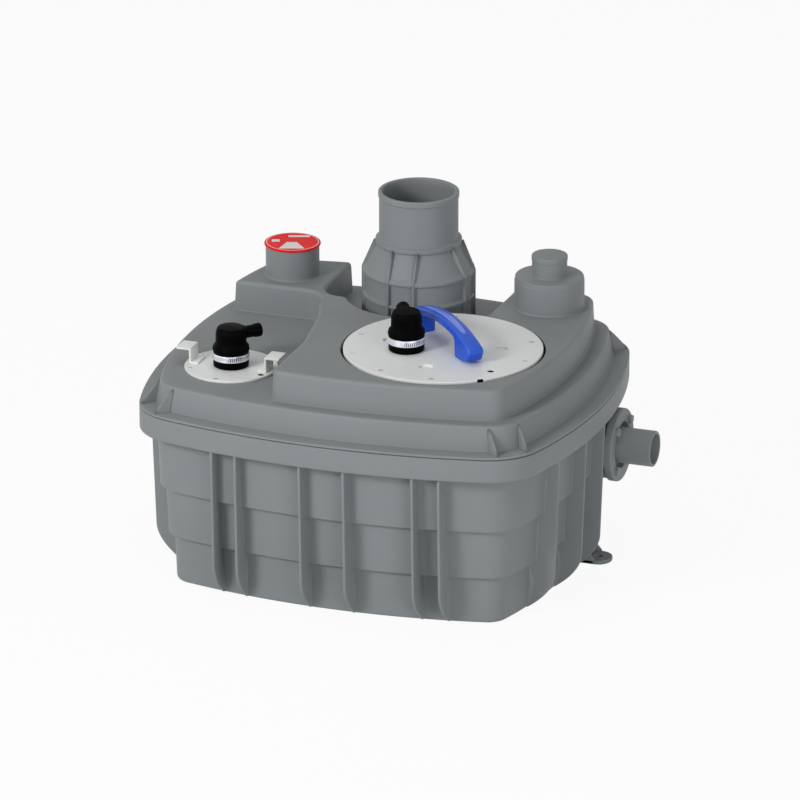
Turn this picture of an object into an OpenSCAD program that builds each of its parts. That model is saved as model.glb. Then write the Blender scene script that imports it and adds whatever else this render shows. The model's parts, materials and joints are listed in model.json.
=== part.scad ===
// Sewage lifting station: a grey plastic tank with a stepped lid, an inlet tower, a vent,
// a spare inlet, a side discharge port, a lift-out pump and a level sensor.
// Origin: centre of the tank's flat underside. +X towards the discharge port, +Y to the back.

/* [Tank] */
// Width of the tank across its rim band
tank_w = 630; // [616:1:646]
// Depth of the tank across its rim band
tank_d = 565; // [556:1:581]
// Height of the tank's rim above the floor
rim_z = 255; // [250:1:262]
// Radius of the long curve along the front and the back
front_bow_r = 985; // [950:5:1040]
// Radius of the long curve along the sides
side_bow_r = 720; // [700:5:760]
// Radius of the plan corners at the rim band
corner_r = 80; // [74:1:88]
// Height of the rim band
band_h = 33; // [28:1:36]
// Height at which the lower course of the wall ends
low_course_z = 69; // [62:1:76]
// Height at which the middle course of the wall ends
mid_course_z = 140; // [134:1:146]
// Inset of the upper course from the rim band
top_course_in = 26; // [22:1:30]
// Step inwards at each lower course
course_step = 11; // [8:1:12]
// Thickness of the tank's wall
tank_wall = 5; // [4:0.5:6]
// Thickness of the tank's floor
floor_t = 6; // [5:0.5:8]
// Radius of the edge round the underside
foot_r = 6; // [3:0.5:8]

/* [Ribs] */
// Thickness of a tank rib
rib_t = 4; // [3:0.5:5]
// Inset of a rib's edge under the band
rib_in = 6; // [4:0.5:8]
// Inwards lean of a rib's edge down to the keel curve
rib_lean = 6; // [4:0.5:10]
// Height at which a rib's edge starts to curve in
keel_z = 42; // [36:1:60]
// Distance from the middle to the centre of an outer pair of front ribs
outer_pair_x = 145; // [140:1:152]
// Spacing of the two ribs of an outer pair
outer_pair_gap = 36; // [32:1:40]
// Spacing of the two ribs of the middle pair
mid_pair_gap = 63; // [56:1:70]
// Shift of all front ribs towards the discharge port
rib_shift_x = 4; // [0:1:6]
// Distance in front of the middle of the inner side ribs
side_rib_y1 = 48; // [44:1:50]
// Distance in front of the middle of the outer side ribs
side_rib_y2 = 131; // [128:1:136]
// Distance behind the middle of the third side ribs
side_rib_y3 = 28; // [24:1:29]
// Distance behind the middle of the fourth side rib, on the side away from the port
side_rib_y4 = 112; // [108:1:118]

/* [Anchor lugs] */
// Distance of the lugs behind the middle
lug_y = 66.5; // [62.5:1:70.5]
// Width of a lug
lug_w = 40; // [34:1:44]
// Distance from the tank's end to a lug's tip
lug_tip_in = 8; // [3:1:11]
// Thickness of a lug
lug_t = 6; // [5:0.5:8]
// Height of the lug's side cheeks at the wall
lug_cheek_h = 30; // [20:1:34]
// Diameter of the floor screw hole
lug_hole_d = 11; // [9:0.5:12]
// Distance from a lug's tip to its hole
lug_hole_in = 19; // [17:0.5:21]

/* [Lid] */
// Thickness of the lid's shell
lid_wall = 4; // [3.5:0.5:5]
// Inset of the lower tier from the rim
tier1_in = 24.5; // [22:0.5:27]
// Height of the terrace above the rim
terrace_h = 38; // [36:1:42]
// Inset of the plateau from the rim
tier2_in = 49; // [46:1:52]
// Height of the plateau above the terrace
plateau_h = 43; // [40:1:46]
// Radius of the rounded top edges
edge_r = 8; // [4:1:10]
// Position of the plateau's left face beside the sensor plate
cut_x = -86; // [-92:1:-82]
// Y at which that face starts to swing out to the left
cut_y = -100; // [-116:1:-90]
// X of the bend half way along that swing
cut_mid_x = -103; // [-107:1:-99]
// Y of that bend
cut_mid_y = 2; // [-6:1:8]
// Position of the face's far end beside the vent block
cut_far_x = -120; // [-126:1:-116]
// Y of the vent block's front face
vent_block_y = 90; // [86:1:94]
// Radius of the inner corner between those two faces
cut_corner_r = 36; // [28:1:40]
// Distance from the middle to the right side of the open recess behind the tower
recess_half_w = 120; // [116:1:124]
// Distance from the middle to the left side of that recess
recess_left_w = 128; // [124:1:132]
// Y at which the straight part of that recess starts
recess_y = 87; // [83:1:93]
// Y of the front side of the recess on the tower's right
recess_right_y = 65; // [63:1:69]
// Radius of the recess's inner corner beside the vent
recess_corner_r = 30; // [22:1:34]
// Radius of the recess round the tower
tower_recess_r = 99; // [97:0.5:101]
// Width of the ground between the recess and the pump plate's seat
seat_land = 6; // [5:0.5:7]
// Depth of the lid's locating lip inside the rim
lip_h = 8; // [5:1:12]
// Thickness of a corner gusset
gusset_t = 4; // [3:0.5:5]
// Distance between the two gussets of a corner
gusset_gap = 44; // [40:1:48]

/* [Inlet tower] */
// Y of the tower's axis
tower_y = 132.5; // [130.5:1:134.5]
// Outer diameter of the inlet stub
inlet_d = 110; // [108:1:112]
// Wall of the inlet stub
inlet_wall = 5; // [4:0.5:6]
// Height of the stub's top
tower_top_z = 486; // [476:1:500]
// Height of the collar under the stub
collar_z = 416; // [410:1:420]
// Radius of that collar
collar_r = 60; // [58:0.5:62]
// Height of the shoulder ring
shoulder_z = 374; // [368:1:378]
// Height of the lower ring
low_ring_z = 338; // [334:1:342]
// Radius of the tower's lower barrel
barrel_r = 74; // [72:0.5:75]
// Radius of the two rings
ring_r = 78; // [77:0.5:79]
// Spacing of the tower's paired ribs
tower_rib_gap = 36; // [30:1:40]
// Depth of the tower's spigot below the lid
spigot_h = 22; // [16:1:26]

/* [Vent and spare inlet] */
// X of the vent's axis
vent_x = -192; // [-196:1:-186]
// Y of the vent's axis
vent_y = 147.5; // [142.5:1:150.5]
// Outer diameter of the vent stub
vent_d = 75; // [74:0.5:76]
// Height of the vent stub above the plateau
vent_h = 44; // [40:1:50]
// Wall of the vent stub
vent_wall = 3; // [2.5:0.5:4]
// Diameter of the vent cap
cap_d = 79; // [77:0.5:82]
// Thickness of the cap's disc
cap_t = 3; // [2:0.5:4]
// Depth of the cap's plug
cap_plug_h = 12; // [8:1:16]
// X of the spare inlet's axis
spare_x = 188; // [184:1:190]
// Y of the spare inlet's axis
spare_y = 142.5; // [139.5:1:146.5]
// Outer diameter of the spare inlet's large step
spare_d = 97; // [94:1:100]
// Height of the large step above the plateau
spare_h = 45; // [41:1:49]
// Outer diameter of the spare inlet's small step
spare_top_d = 50; // [49:0.5:52]
// Height of the small step above the large one
spare_top_h = 30; // [26:1:34]

/* [Pump plate] */
// X of the plate's and the pump's axis
pump_x = 107; // [104:1:109]
// Y of the plate's and the pump's axis
pump_y = -69.5; // [-71.5:1:-68.5]
// Diameter of the plate
plate_d = 273; // [270:1:275]
// Thickness of the plate
plate_t = 6; // [5:0.5:8]
// Height of the plate's face above the plateau
plate_proud = 2; // [1:0.5:3]
// Gap round the plate
plate_gap = 3.5; // [2.5:0.5:4]
// Width of the ring that the plate lies on
hatch_in = 24.5; // [22:0.5:28]
// Distance from the plate's edge to its screws
plate_screw_in = 13.5; // [12:0.5:14]
// Number of screw places on that circle
plate_screw_n = 10; // [8:1:12]
// Angle of the first plate screw
plate_screw_a = 174; // [170:1:178]
// Number of the screw place that is left free beside the relief hole
free_place = 4; // [4:1:4]
// Radius at which the columns that carry the pump stand
column_pcr = 79; // [77:0.5:82]
// Angle of the right column
column_a1 = 17; // [10:1:24]
// Angle of the left column
column_a2 = 177; // [170:1:184]
// Angle of the front column
column_a3 = 272; // [265:1:279]
// Radius of a column
column_r = 8; // [7:0.5:9]

/* [Lifting handle] */
// X of the handle's middle, from the plate's axis
handle_dx = -2.5; // [-4:0.5:0]
// Y of the handle's middle, from the plate's axis
handle_dy = 13.5; // [11:0.5:15]
// Direction in which the handle runs
handle_a = -44; // [-48:1:-40]
// Length of the handle
handle_l = 192; // [184:1:196]
// Width of the handle
handle_w = 24; // [20:0.5:26]
// Height of the handle at its middle
handle_h = 43; // [40:1:48]
// Height of the handle's top at its ends
handle_end_h = 22; // [18:1:26]
// Thickness of the grip
grip_t = 11; // [9:0.5:13]
// Distance between the inner faces of the feet
grip_l = 108; // [100:1:112]

/* [Cable boots] */
// X of the motor boot's axis, from the plate's axis
boot_dx = -44.5; // [-47:0.5:-42]
// Y of the motor boot's axis, from the plate's axis
boot_dy = -24; // [-27:0.5:-22]
// Direction of the motor boot's spout
motor_spout_a = 116; // [106:1:126]
// Direction of the sensor boot's spout
sensor_spout_a = 48; // [40:1:56]
// Lower radius of a boot
boot_r = 24.5; // [24:0.5:26]
// Upper radius of a boot
boot_neck_r = 21; // [20:0.5:22]
// Height of a boot
boot_h = 57; // [54:1:60]
// Height of the spout's axis
spout_h = 44; // [42:1:46]
// Distance from the boot's axis to the spout's tip
spout_l = 45; // [42:1:50]
// Radius of the spout
spout_r = 8.5; // [8:0.25:9.5]
// Radius of the cable bore
cable_r = 5.5; // [4:0.25:6]
// Height at which the clamp band starts
clamp_z = 11; // [9:0.5:13]
// Width of the clamp band
clamp_w = 9; // [8:0.5:10]
// Thickness of the clamp band
clamp_t = 1; // [0.8:0.1:1.4]
// Radius of the collar inside a boot
collar_out_r = 17; // [16:0.5:18]
// Height of that collar
collar_up = 26; // [22:1:30]

/* [Sensor plate] */
// X of the sensor plate's axis
sensor_x = -180; // [-182:1:-178]
// Y of the sensor plate's axis
sensor_y = -127.5; // [-129.5:1:-125.5]
// Diameter of the sensor plate
sensor_plate_d = 130; // [126:1:134]
// Thickness of the sensor plate
sensor_plate_t = 4; // [3:0.5:5]
// Width of the ring that the sensor plate lies on
sensor_hatch_in = 17; // [16:0.5:20]
// Distance from the sensor plate's edge to its screws
sensor_screw_in = 8.5; // [7.5:0.5:9]
// Number of sensor plate screws
sensor_screw_n = 6; // [5:1:6]
// Angle of the first sensor plate screw
sensor_screw_a = 29; // [27:1:31]
// Number of the screw place that is left free on the sensor plate
sensor_free_place = 5; // [0:1:5]
// Distance from the sensor plate's edge to a lifting grip
grip_in = 9; // [8:0.5:11]
// Length of a lifting grip
lift_l = 32; // [28:1:36]
// Height of a lifting grip
lift_h = 24; // [18:1:28]
// Reach of a lifting grip's arm
lift_arm = 20; // [16:1:24]
// Thickness of a lifting grip
lift_t = 3; // [2.5:0.5:4]
// Outer radius of the dip tube
dip_r = 22; // [20:0.5:24]
// Wall of the dip tube
dip_wall = 3; // [2.5:0.5:4]
// Height of the dip tube's open end above the tank floor
dip_clear = 34; // [28:1:50]

/* [Discharge port] */
// Position of the port's axis, Y and Z
port_y = 79.5; // [78.5:0.5:80.5]
// Height of the port's axis
port_z = 169; // [167:1:170]
// Outer diameter of the discharge pipe
pipe_d = 50; // [49:0.5:51]
// Wall of the discharge pipe
pipe_wall = 4; // [3:0.5:5]
// Distance from the tank's end to the face that the gasket lies on
port_face_in = 12; // [11:0.5:13]
// Diameter of the boss on the tank
boss_d = 96; // [94:1:98]
// Diameter of the port flange
flange_d = 102; // [100:1:104]
// Thickness of the port flange
flange_t = 12; // [10:1:14]
// Depth of the dished ring round the discharge stub
flange_dish = 7; // [5:0.5:8]
// Outer radius of the dished ring
dish_r = 33; // [32:0.2:33.2]
// Thickness of the flange gasket
gasket_t = 2; // [1.5:0.5:3]
// Length of the stub outside the flange
stub_l = 47; // [44:1:52]
// Diameter of the circle of flange bolts
flange_pcd = 80; // [79:0.5:82]

/* [Check valve] */
// Distance from the tank's end to the valve body's outlet end
valve_end_in = 52; // [52:0.5:55]
// Length of the valve body
valve_l = 68; // [66:1:70]
// Outer radius of the valve body
valve_r = 39; // [38.5:0.5:40]
// Radius of the valve's chamber
chamber_r = 34; // [33.5:0.25:35]
// Radius of the flap
flap_r = 23; // [22.5:0.25:23.5]
// Height of the flap's hinge above the port's axis
hinge_up = 26; // [25.5:0.25:26.5]
// Radius of the hinge pin
hinge_pin_r = 2.5; // [2:0.25:3]

/* [Pump] */
// Height of the underside of the suction cover
pump_z = 56; // [50:1:60]
// Outer radius of the pump casing
casing_r = 90; // [88:1:94]
// Radius of the pump chamber
casing_bore_r = 82; // [80:0.5:84]
// Height of the pump chamber
chamber_h = 52; // [50:1:54]
// Radius of the suction inlet
suction_r = 32; // [28:1:36]
// Radius of the impeller
impeller_r = 62; // [56:1:66]
// Number of impeller vanes
vane_n = 7; // [5:1:9]
// Radius of the pump shaft
shaft_r = 10; // [9:0.5:10]
// Outer radius of the motor housing
motor_r = 65; // [64:0.5:68]
// Wall of the motor housing
motor_wall = 5; // [4:0.5:6]
// Outer radius of the rotor core
rotor_r = 33; // [30:0.5:34]
// Air gap between the rotor and the stator
air_gap = 0.6; // [0.5:0.1:1]
// Length of the rotor and stator cores
core_l = 70; // [60:1:74]
// Outer radius of a ball bearing
bearing_r = 23.5; // [23:0.5:24]
// Width of a ball bearing
bearing_w = 14; // [13:0.5:15]
// Radius of a bearing ball
ball_r = 4; // [3.75:0.25:4]
// Number of bearing balls
ball_n = 8; // [7:1:8]

/* [Fits] */
// Gap between pieces that are put together by hand
fit_gap = 0.3; // [0.2:0.05:0.4]
// Radial clearance of a running fit
run_gap = 0.05; // [0.03:0.01:0.08]

/* [Hidden] */
$fn = 72;
eps = 0.01;
vent_at = [vent_x, vent_y];
spare_at = [spare_x, spare_y];
pump_at = [pump_x, pump_y];
handle_at = pump_at + [handle_dx, handle_dy];
boot_at = pump_at + [boot_dx, boot_dy];
sensor_at = [sensor_x, sensor_y];
column_a = [column_a1, column_a2, column_a3];
grey = [0.52, 0.53, 0.54];
off_white = [0.86, 0.87, 0.86];
black = [0.06, 0.06, 0.06];
blue = [0.16, 0.31, 0.78];
red = [0.93, 0.07, 0.09];
steel = [0.75, 0.76, 0.78];
iron = [0.33, 0.35, 0.37];
copper = [0.72, 0.42, 0.22];

half_w = tank_w / 2;
half_d = tank_d / 2;
side_rib_ys = [-side_rib_y2, -side_rib_y1, side_rib_y3];
lug_tip_x = half_w - lug_tip_in;
port_face_x = half_w - port_face_in;
valve_end_x = half_w - valve_end_in;
hatch_d = plate_d - 2 * hatch_in;
plate_screw_pcd = plate_d - 2 * plate_screw_in;
relief_r = plate_d / 2 - plate_screw_in - 10;
sensor_hatch_d = sensor_plate_d - 2 * sensor_hatch_in;
sensor_screw_pcd = sensor_plate_d - 2 * sensor_screw_in;
grip_x = sensor_plate_d / 2 - grip_in;
band_z = rim_z - band_h;
low_course_in = top_course_in + 2 * course_step;
mid_course_in = top_course_in + course_step;
terrace_z = rim_z + terrace_h;
plateau_z = terrace_z + plateau_h;
gusset_h = terrace_h - lid_wall - edge_r / 2 - 0.6;
seat_z = plateau_z + plate_proud - plate_t;
plate_z = seat_z + plate_t;
seat_ring_t = 12;
seat_r = plate_d / 2 + plate_gap;
sensor_z = terrace_z + sensor_plate_t;
spigot_r = 62;
seal_r = 70;
pipe_r = pipe_d / 2;
pipe_bore_r = pipe_r - pipe_wall;
flange_x = port_face_x + gasket_t;
port_tip_x = flange_x + flange_t + stub_l;
bolt_head_h = 5;

// Pump heights, from the suction cover up
cover_t = 8;
chamber_z = pump_z + cover_t;
ceiling_z = chamber_z + chamber_h;
casing_top_z = ceiling_z + 14;
outlet_z = chamber_z + chamber_h / 2;
housing_floor_t = 16;
low_bearing_z = casing_top_z + housing_floor_t;
motor_l = 122;
top_cover_z = low_bearing_z + motor_l;
top_bearing_z = top_cover_z - bearing_w - 2;
top_cover_t = 12;
core_z = low_bearing_z + bearing_w + (top_bearing_z - low_bearing_z - bearing_w - core_l) / 2;
hanger_r = column_pcr + column_r + 3;
column_z = top_cover_z + top_cover_t;
flange_out_r = 84;
housing_bolt_r = 76;

// Check valve lengths along X, from the inlet end
valve_x = valve_end_x - valve_l;
socket_l = 8;
seat_x = valve_x + 2 * socket_l;
chamber_end_x = valve_end_x - socket_l;
hinge_x = seat_x + 1;
flap_t = 3.5;
riser_bend_r = 40;
riser_top_r = 32;
outlet_x = valve_x - 1 - riser_top_r;
outlet_off = outlet_x - pump_at[0];
riser_rise = port_z - riser_top_r - outlet_z - riser_bend_r;
sleeve_l = 22;
sleeve_t = 5;
riser_start_y = port_y - riser_bend_r - 9;

// Corner circle centre of the plan outline: it touches the front curve and the side curve
front_c = [0, front_bow_r - half_d];
side_c = [half_w - side_bow_r, 0];
c_dist = norm(side_c - front_c);
c_along = (pow(front_bow_r - corner_r, 2) - pow(side_bow_r - corner_r, 2) + c_dist * c_dist) / (2 * c_dist);
c_across = sqrt(pow(front_bow_r - corner_r, 2) - c_along * c_along);
c_dir = (side_c - front_c) / c_dist;
corner_c = front_c + c_along * c_dir + c_across * [-c_dir[1], c_dir[0]];
front_end_a = atan2(corner_c[1] - front_c[1], corner_c[0] - front_c[0]);
side_end_a = atan2(corner_c[1] - side_c[1], corner_c[0] - side_c[0]);

// Points of an arc about c from angle a0 to a1 in n steps, without the last point
function arc(c, r, a0, a1, n) = [for (i = [0 : n - 1]) let (a = a0 + (a1 - a0) * i / n) c + r * [cos(a), sin(a)]];
// Quarter of the plan outline, inset by e, from the front middle to the right middle
function quarter(e) = concat(
    arc(front_c, front_bow_r - e, -90, front_end_a, 5),
    arc(corner_c, corner_r - e, front_end_a, side_end_a, 9),
    arc(side_c, side_bow_r - e, side_end_a, 0, 5), [[half_w - e, 0]]);
function flip(pts, sx, sy) = [for (i = [len(pts) - 1 : -1 : 0]) [sx * pts[i][0], sy * pts[i][1]]];
function skip_ends(pts) = [for (i = [1 : len(pts) - 2]) pts[i]];
// Whole plan outline, inset by e
function outline(e) = let (q = quarter(e), h = concat(q, skip_ends(flip(q, 1, -1)), [[0, half_d - e]]))
    concat(h, skip_ends(flip(h, -1, 1)));
// Y of the front curve and X of the right curve, inset by e
function front_y(x, e = 0) = front_c[1] - sqrt(pow(front_bow_r - e, 2) - x * x);
function side_x(y, e = 0) = side_c[0] + sqrt(pow(side_bow_r - e, 2) - y * y);

// Slab of the plan outline
module slab(e, z0, z1) {
    translate([0, 0, z0]) linear_extrude(z1 - z0) polygon(outline(e));
}

// Slab with a stepped round over its top edge
module round_slab(e, z0, z1, r, steps = 3) {
    slab(e, z0, z1 - r);
    for (k = [1 : steps])
        slab(e + r * (1 - cos(k * 90 / steps - 15)), z1 - r - eps, z1 - r + r * sin(k * 90 / steps));
}

module ring(r_out, r_in, h) {
    difference() {
        cylinder(r = r_out, h = h);
        translate([0, 0, -1]) cylinder(r = r_in, h = h + 2);
    }
}

module along_x(x, y, z) { translate([x, y, z]) rotate([0, 90, 0]) children(); }
module along_y(x, y, z) { translate([x, y, z]) rotate([-90, 0, 0]) children(); }
module around(n, r, a0 = 0) { for (i = [0 : n - 1]) rotate(a0 + i * 360 / n) translate([r, 0, 0]) children(); }
module at_pump(z = 0) { translate([pump_at[0], pump_at[1], z]) children(); }
module at_sensor(z = 0) { translate([sensor_at[0], sensor_at[1], z]) children(); }

// Countersunk or cylinder screw, its head's top at z = 0, pointing down
module screw(head_r, head_h, shank_r, shank_l) {
    translate([0, 0, -head_h]) cylinder(r = head_r, h = head_h);
    translate([0, 0, -head_h - shank_l]) cylinder(r = shank_r, h = shank_l + eps);
}

module hex(r, h) { cylinder(r = r, h = h, $fn = 6); }

// tank

module tank_shell(e) {
    slab(low_course_in + e, 0, low_course_z + e);
    slab(mid_course_in + e, low_course_z + e - eps, mid_course_z + e);
    slab(top_course_in + e, mid_course_z + e - eps, band_z + e);
    slab(e, band_z + e - eps, rim_z);
}

// Rib plate seen from its side: x runs inwards from the band, y runs up
module rib_plate() {
    low_in = rib_in + rib_lean;
    keel = [for (i = [0 : 8]) let (t = i / 8)
        [low_in + (low_course_in - low_in) * (1 - cos(90 * t)), keel_z * (1 - sin(90 * t))]];
    rotate([90, 0, 0]) translate([0, 0, -rib_t / 2]) linear_extrude(rib_t)
        polygon(concat([[low_course_in + 3, 0], [low_course_in + 3, band_z + 1], [rib_in, band_z + 1]], keel));
}

module front_ribs() {
    xs = [for (c = [-1, 1], g = [-1, 1]) c * outer_pair_x + g * outer_pair_gap / 2];
    for (x = concat(xs, [-mid_pair_gap / 2, mid_pair_gap / 2]))
        translate([x + rib_shift_x, front_y(x + rib_shift_x), 0]) rotate(90) rib_plate();
}

module side_ribs(ys) {
    for (y = ys)
        translate([-side_x(y), y, 0]) rib_plate();
}

module anchor_lug() {
    wall_x = half_w - low_course_in - 8;
    difference() {
        union() {
            translate([wall_x, lug_y - lug_w / 2, 0])
                cube([lug_tip_x - lug_w / 2 - wall_x, lug_w, lug_t]);
            translate([lug_tip_x - lug_w / 2, lug_y, 0]) cylinder(r = lug_w / 2, h = lug_t);
            for (y = [lug_y - lug_w / 2, lug_y + lug_w / 2 - rib_t])
                translate([wall_x, y + rib_t, 0]) rotate([90, 0, 0]) linear_extrude(rib_t)
                    polygon([[0, 0], [lug_tip_x - lug_w / 2 - wall_x, 0],
                        [lug_tip_x - lug_w / 2 - wall_x, lug_t + 2], [8, lug_cheek_h], [0, lug_cheek_h]]);
        }
        translate([lug_tip_x - lug_hole_in, lug_y, -1]) cylinder(d = lug_hole_d, h = lug_t + 2);
    }
}

module tank() {
    color(grey) difference() {
        union() {
            slab(low_course_in + foot_r / 3, 0, foot_r / 3);
            translate([0, 0, foot_r / 3]) slab(low_course_in, 0, low_course_z - foot_r / 3);
            slab(mid_course_in, low_course_z - eps, mid_course_z);
            slab(top_course_in, mid_course_z - eps, band_z);
            slab(0, band_z - eps, rim_z);
            for (s = [0, 1]) {
                mirror([0, s, 0]) front_ribs();
                mirror([s, 0, 0]) side_ribs(s == 0 ? concat(side_rib_ys, [side_rib_y4]) : side_rib_ys);
                mirror([s, 0, 0]) anchor_lug();
            }
            along_x(half_w - low_course_in - tank_wall, port_y, port_z)
                cylinder(d = boss_d, h = port_face_x - (half_w - low_course_in - tank_wall));
        }
        difference() {
            tank_shell(tank_wall);
            translate([0, 0, -1]) cube([2 * tank_w, 2 * tank_w, 2 * (floor_t + 1)], center = true);
        }
        slab(tank_wall, rim_z - eps, rim_z + 1);
        along_x(0, port_y, port_z) cylinder(r = pipe_r + fit_gap, h = half_w);
        along_x(port_face_x, port_y, port_z) cylinder(d = flange_d + 3, h = half_w);
        port_bolts(3, 30);
    }
}

// Four bolts of the port, from the flange's face inwards
module port_bolts(r, l) {
    for (a = [45 : 90 : 315])
        along_x(flange_x + flange_t - l, port_y + flange_pcd / 2 * cos(a), port_z + flange_pcd / 2 * sin(a))
            cylinder(r = r, h = l);
}

// lid

// Region of the low ground round the sensor plate, grown by e
module sensor_ground(e, z0, z1) {
    corner = [cut_far_x + e - cut_corner_r, vent_block_y + e - cut_corner_r];
    translate([0, 0, z0]) linear_extrude(z1 - z0) polygon(concat(
        [[-tank_w, -tank_d], [cut_x + e, -tank_d], [cut_x + e, cut_y], [cut_mid_x + e, cut_mid_y]],
        [for (i = [0 : 6]) corner + cut_corner_r * [cos(15 * i), sin(15 * i)]],
        [[-tank_w, vent_block_y + e]]));
}

// Region of the recess round the tower, grown by e
module tower_recess(e, z0, z1) {
    h = z1 - z0;
    difference() {
        union() {
            translate([0, tower_y, z0]) cylinder(r = tower_recess_r + e, h = h);
            translate([-recess_left_w - e, recess_y - e, z0]) cube([recess_left_w + e, half_d, h]);
            translate([-e, recess_right_y - e, z0]) cube([recess_half_w + 2 * e, half_d, h]);
        }
        at_pump(z0 - 1) cylinder(r = seat_r + seat_land - e, h = h + 2);
        translate([recess_corner_r - recess_left_w, recess_y + recess_corner_r, z0 - 1]) difference() {
            translate([-recess_corner_r - e - 1, -recess_corner_r - e - 1, 0])
                cube([recess_corner_r + e + 1, recess_corner_r + e + 1, h + 2]);
            translate([0, 0, -1]) cylinder(r = recess_corner_r + e, h = h + 4);
        }
    }
}

module plateau() {
    difference() {
        round_slab(tier2_in, terrace_z - eps, plateau_z, edge_r);
        sensor_ground(0, terrace_z, plateau_z + 1);
        tower_recess(0, terrace_z, plateau_z + 1);
    }
}

module lid_hollow() {
    slab(tier1_in + lid_wall, rim_z - 1, terrace_z - lid_wall);
    difference() {
        slab(tier2_in + lid_wall, terrace_z - lid_wall - eps, plateau_z - lid_wall);
        sensor_ground(lid_wall, terrace_z - lid_wall, plateau_z);
        tower_recess(lid_wall, terrace_z - lid_wall, plateau_z);
    }
}

// Pairs of thin gussets on the ledge's corners, along the corner's diagonal; x runs outwards
module corner_gussets() {
    out_x = sqrt(pow(corner_r - 4, 2) - pow(gusset_gap / 2, 2));
    wall_x = sqrt(pow(corner_r - tier1_in, 2) - pow(gusset_gap / 2, 2));
    for (g = [-1, 1]) translate([corner_c[0], corner_c[1], rim_z + lid_wall]) rotate(-45)
        translate([0, g * gusset_gap / 2 + gusset_t / 2, 0]) rotate([90, 0, 0]) linear_extrude(gusset_t)
            polygon([[wall_x - 10, -1], [out_x, -1], [out_x, 0.5], [wall_x + 2, gusset_h], [wall_x - 10, gusset_h]]);
}

module lid() {
    color(grey) difference() {
        union() {
            difference() {
                union() {
                    slab(0, rim_z, rim_z + lid_wall);
                    difference() {
                        slab(tank_wall + fit_gap, rim_z - lip_h, rim_z + eps);
                        slab(tank_wall + fit_gap + lid_wall, rim_z - lip_h - 1, rim_z + 1);
                    }
                    round_slab(tier1_in, rim_z, terrace_z, edge_r / 2);
                    plateau();
                    for (sx = [0, 1], sy = [0, 1]) mirror([sx, 0, 0]) mirror([0, sy, 0]) corner_gussets();
                }
                lid_hollow();
            }
            at_pump(seat_z - seat_ring_t) cylinder(r = seat_r + lid_wall, h = plateau_z - seat_z + seat_ring_t);
            at_sensor(terrace_z - seat_ring_t) cylinder(d = sensor_plate_d + 4, h = seat_ring_t);
            translate([vent_at[0], vent_at[1], plateau_z - lid_wall])
                cylinder(d = vent_d, h = vent_h + lid_wall);
            translate([spare_at[0], spare_at[1], plateau_z - lid_wall]) {
                cylinder(d = spare_d, h = spare_h + lid_wall);
                cylinder(d = spare_top_d, h = spare_h + spare_top_h + lid_wall);
            }
        }
        at_pump(seat_z) cylinder(r = seat_r, h = plate_t + 1);
        at_pump(seat_z - seat_ring_t - 1) cylinder(d = hatch_d, h = seat_ring_t + 2);
        at_pump(seat_z - 2) ring(hatch_d / 2 + 6, hatch_d / 2 + 2, 2 + eps);
        at_pump(seat_z - 10) around(plate_screw_n, plate_screw_pcd / 2, plate_screw_a) cylinder(r = 2, h = 12);
        at_sensor(terrace_z - seat_ring_t - 1) cylinder(d = sensor_hatch_d, h = seat_ring_t + 2);
        at_sensor(terrace_z - 2) ring(sensor_hatch_d / 2 + 5, sensor_hatch_d / 2 + 1.5, 2 + eps);
        at_sensor(terrace_z - 8) around(sensor_screw_n, sensor_screw_pcd / 2, sensor_screw_a)
            cylinder(r = 1.6, h = 9);
        translate([0, tower_y, terrace_z - lid_wall - 1]) cylinder(r = seal_r + fit_gap, h = lid_wall + 2);
        translate([vent_at[0], vent_at[1], plateau_z - lid_wall - 1])
            cylinder(r = vent_d / 2 - vent_wall, h = vent_h + lid_wall + 2);
        translate([spare_at[0], spare_at[1], plateau_z - lid_wall - 1]) {
            cylinder(r = spare_d / 2 - lid_wall, h = spare_h + 1);
            cylinder(r = spare_top_d / 2 - lid_wall, h = spare_h + spare_top_h + 1);
        }
    }
}

// inlet tower

module inlet_tower() {
    stub_r = inlet_d / 2;
    bore_r = stub_r - inlet_wall;
    barrel_bore_r = barrel_r - inlet_wall;
    color(grey) translate([0, tower_y, 0]) difference() {
        union() {
            rotate_extrude($fn = 96) polygon([[0, terrace_z], [ring_r, terrace_z], [ring_r, terrace_z + 5],
                [barrel_r, terrace_z + 7], [barrel_r, low_ring_z - 3], [ring_r, low_ring_z - 2],
                [ring_r, low_ring_z + 2], [barrel_r, low_ring_z + 3], [barrel_r, shoulder_z - 5],
                [ring_r, shoulder_z - 3], [ring_r, shoulder_z], [barrel_r - 3, shoulder_z + 3],
                [collar_r - 3, collar_z - 4], [collar_r, collar_z - 3], [collar_r, collar_z],
                [stub_r, collar_z + 3], [stub_r, tower_top_z], [0, tower_top_z]]);
            translate([0, 0, terrace_z - spigot_h]) cylinder(r = spigot_r, h = spigot_h + eps);
            for (a = [0 : 90 : 270], g = [-1, 1]) rotate(a) translate([0, g * tower_rib_gap / 2 + rib_t / 2, 0])
                rotate([90, 0, 0]) linear_extrude(rib_t) polygon([[bore_r, terrace_z + 1],
                    [ring_r - 1, terrace_z + 1], [ring_r - 1, shoulder_z - 1], [collar_r - 1, collar_z - 1],
                    [bore_r, collar_z - 1]]);
        }
        rotate_extrude($fn = 96) polygon([[0, terrace_z - spigot_h - 1], [spigot_r - 4, terrace_z - spigot_h - 1],
            [spigot_r - 4, terrace_z + 2], [barrel_bore_r, terrace_z + 14], [barrel_bore_r, shoulder_z - 4],
            [bore_r, collar_z - 6], [bore_r, tower_top_z + 1], [0, tower_top_z + 1]]);
    }
}

module inlet_seal() {
    color(black) translate([0, tower_y, terrace_z - lid_wall - 6])
        ring(seal_r, spigot_r + fit_gap, lid_wall + 6 - fit_gap);
}

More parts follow.
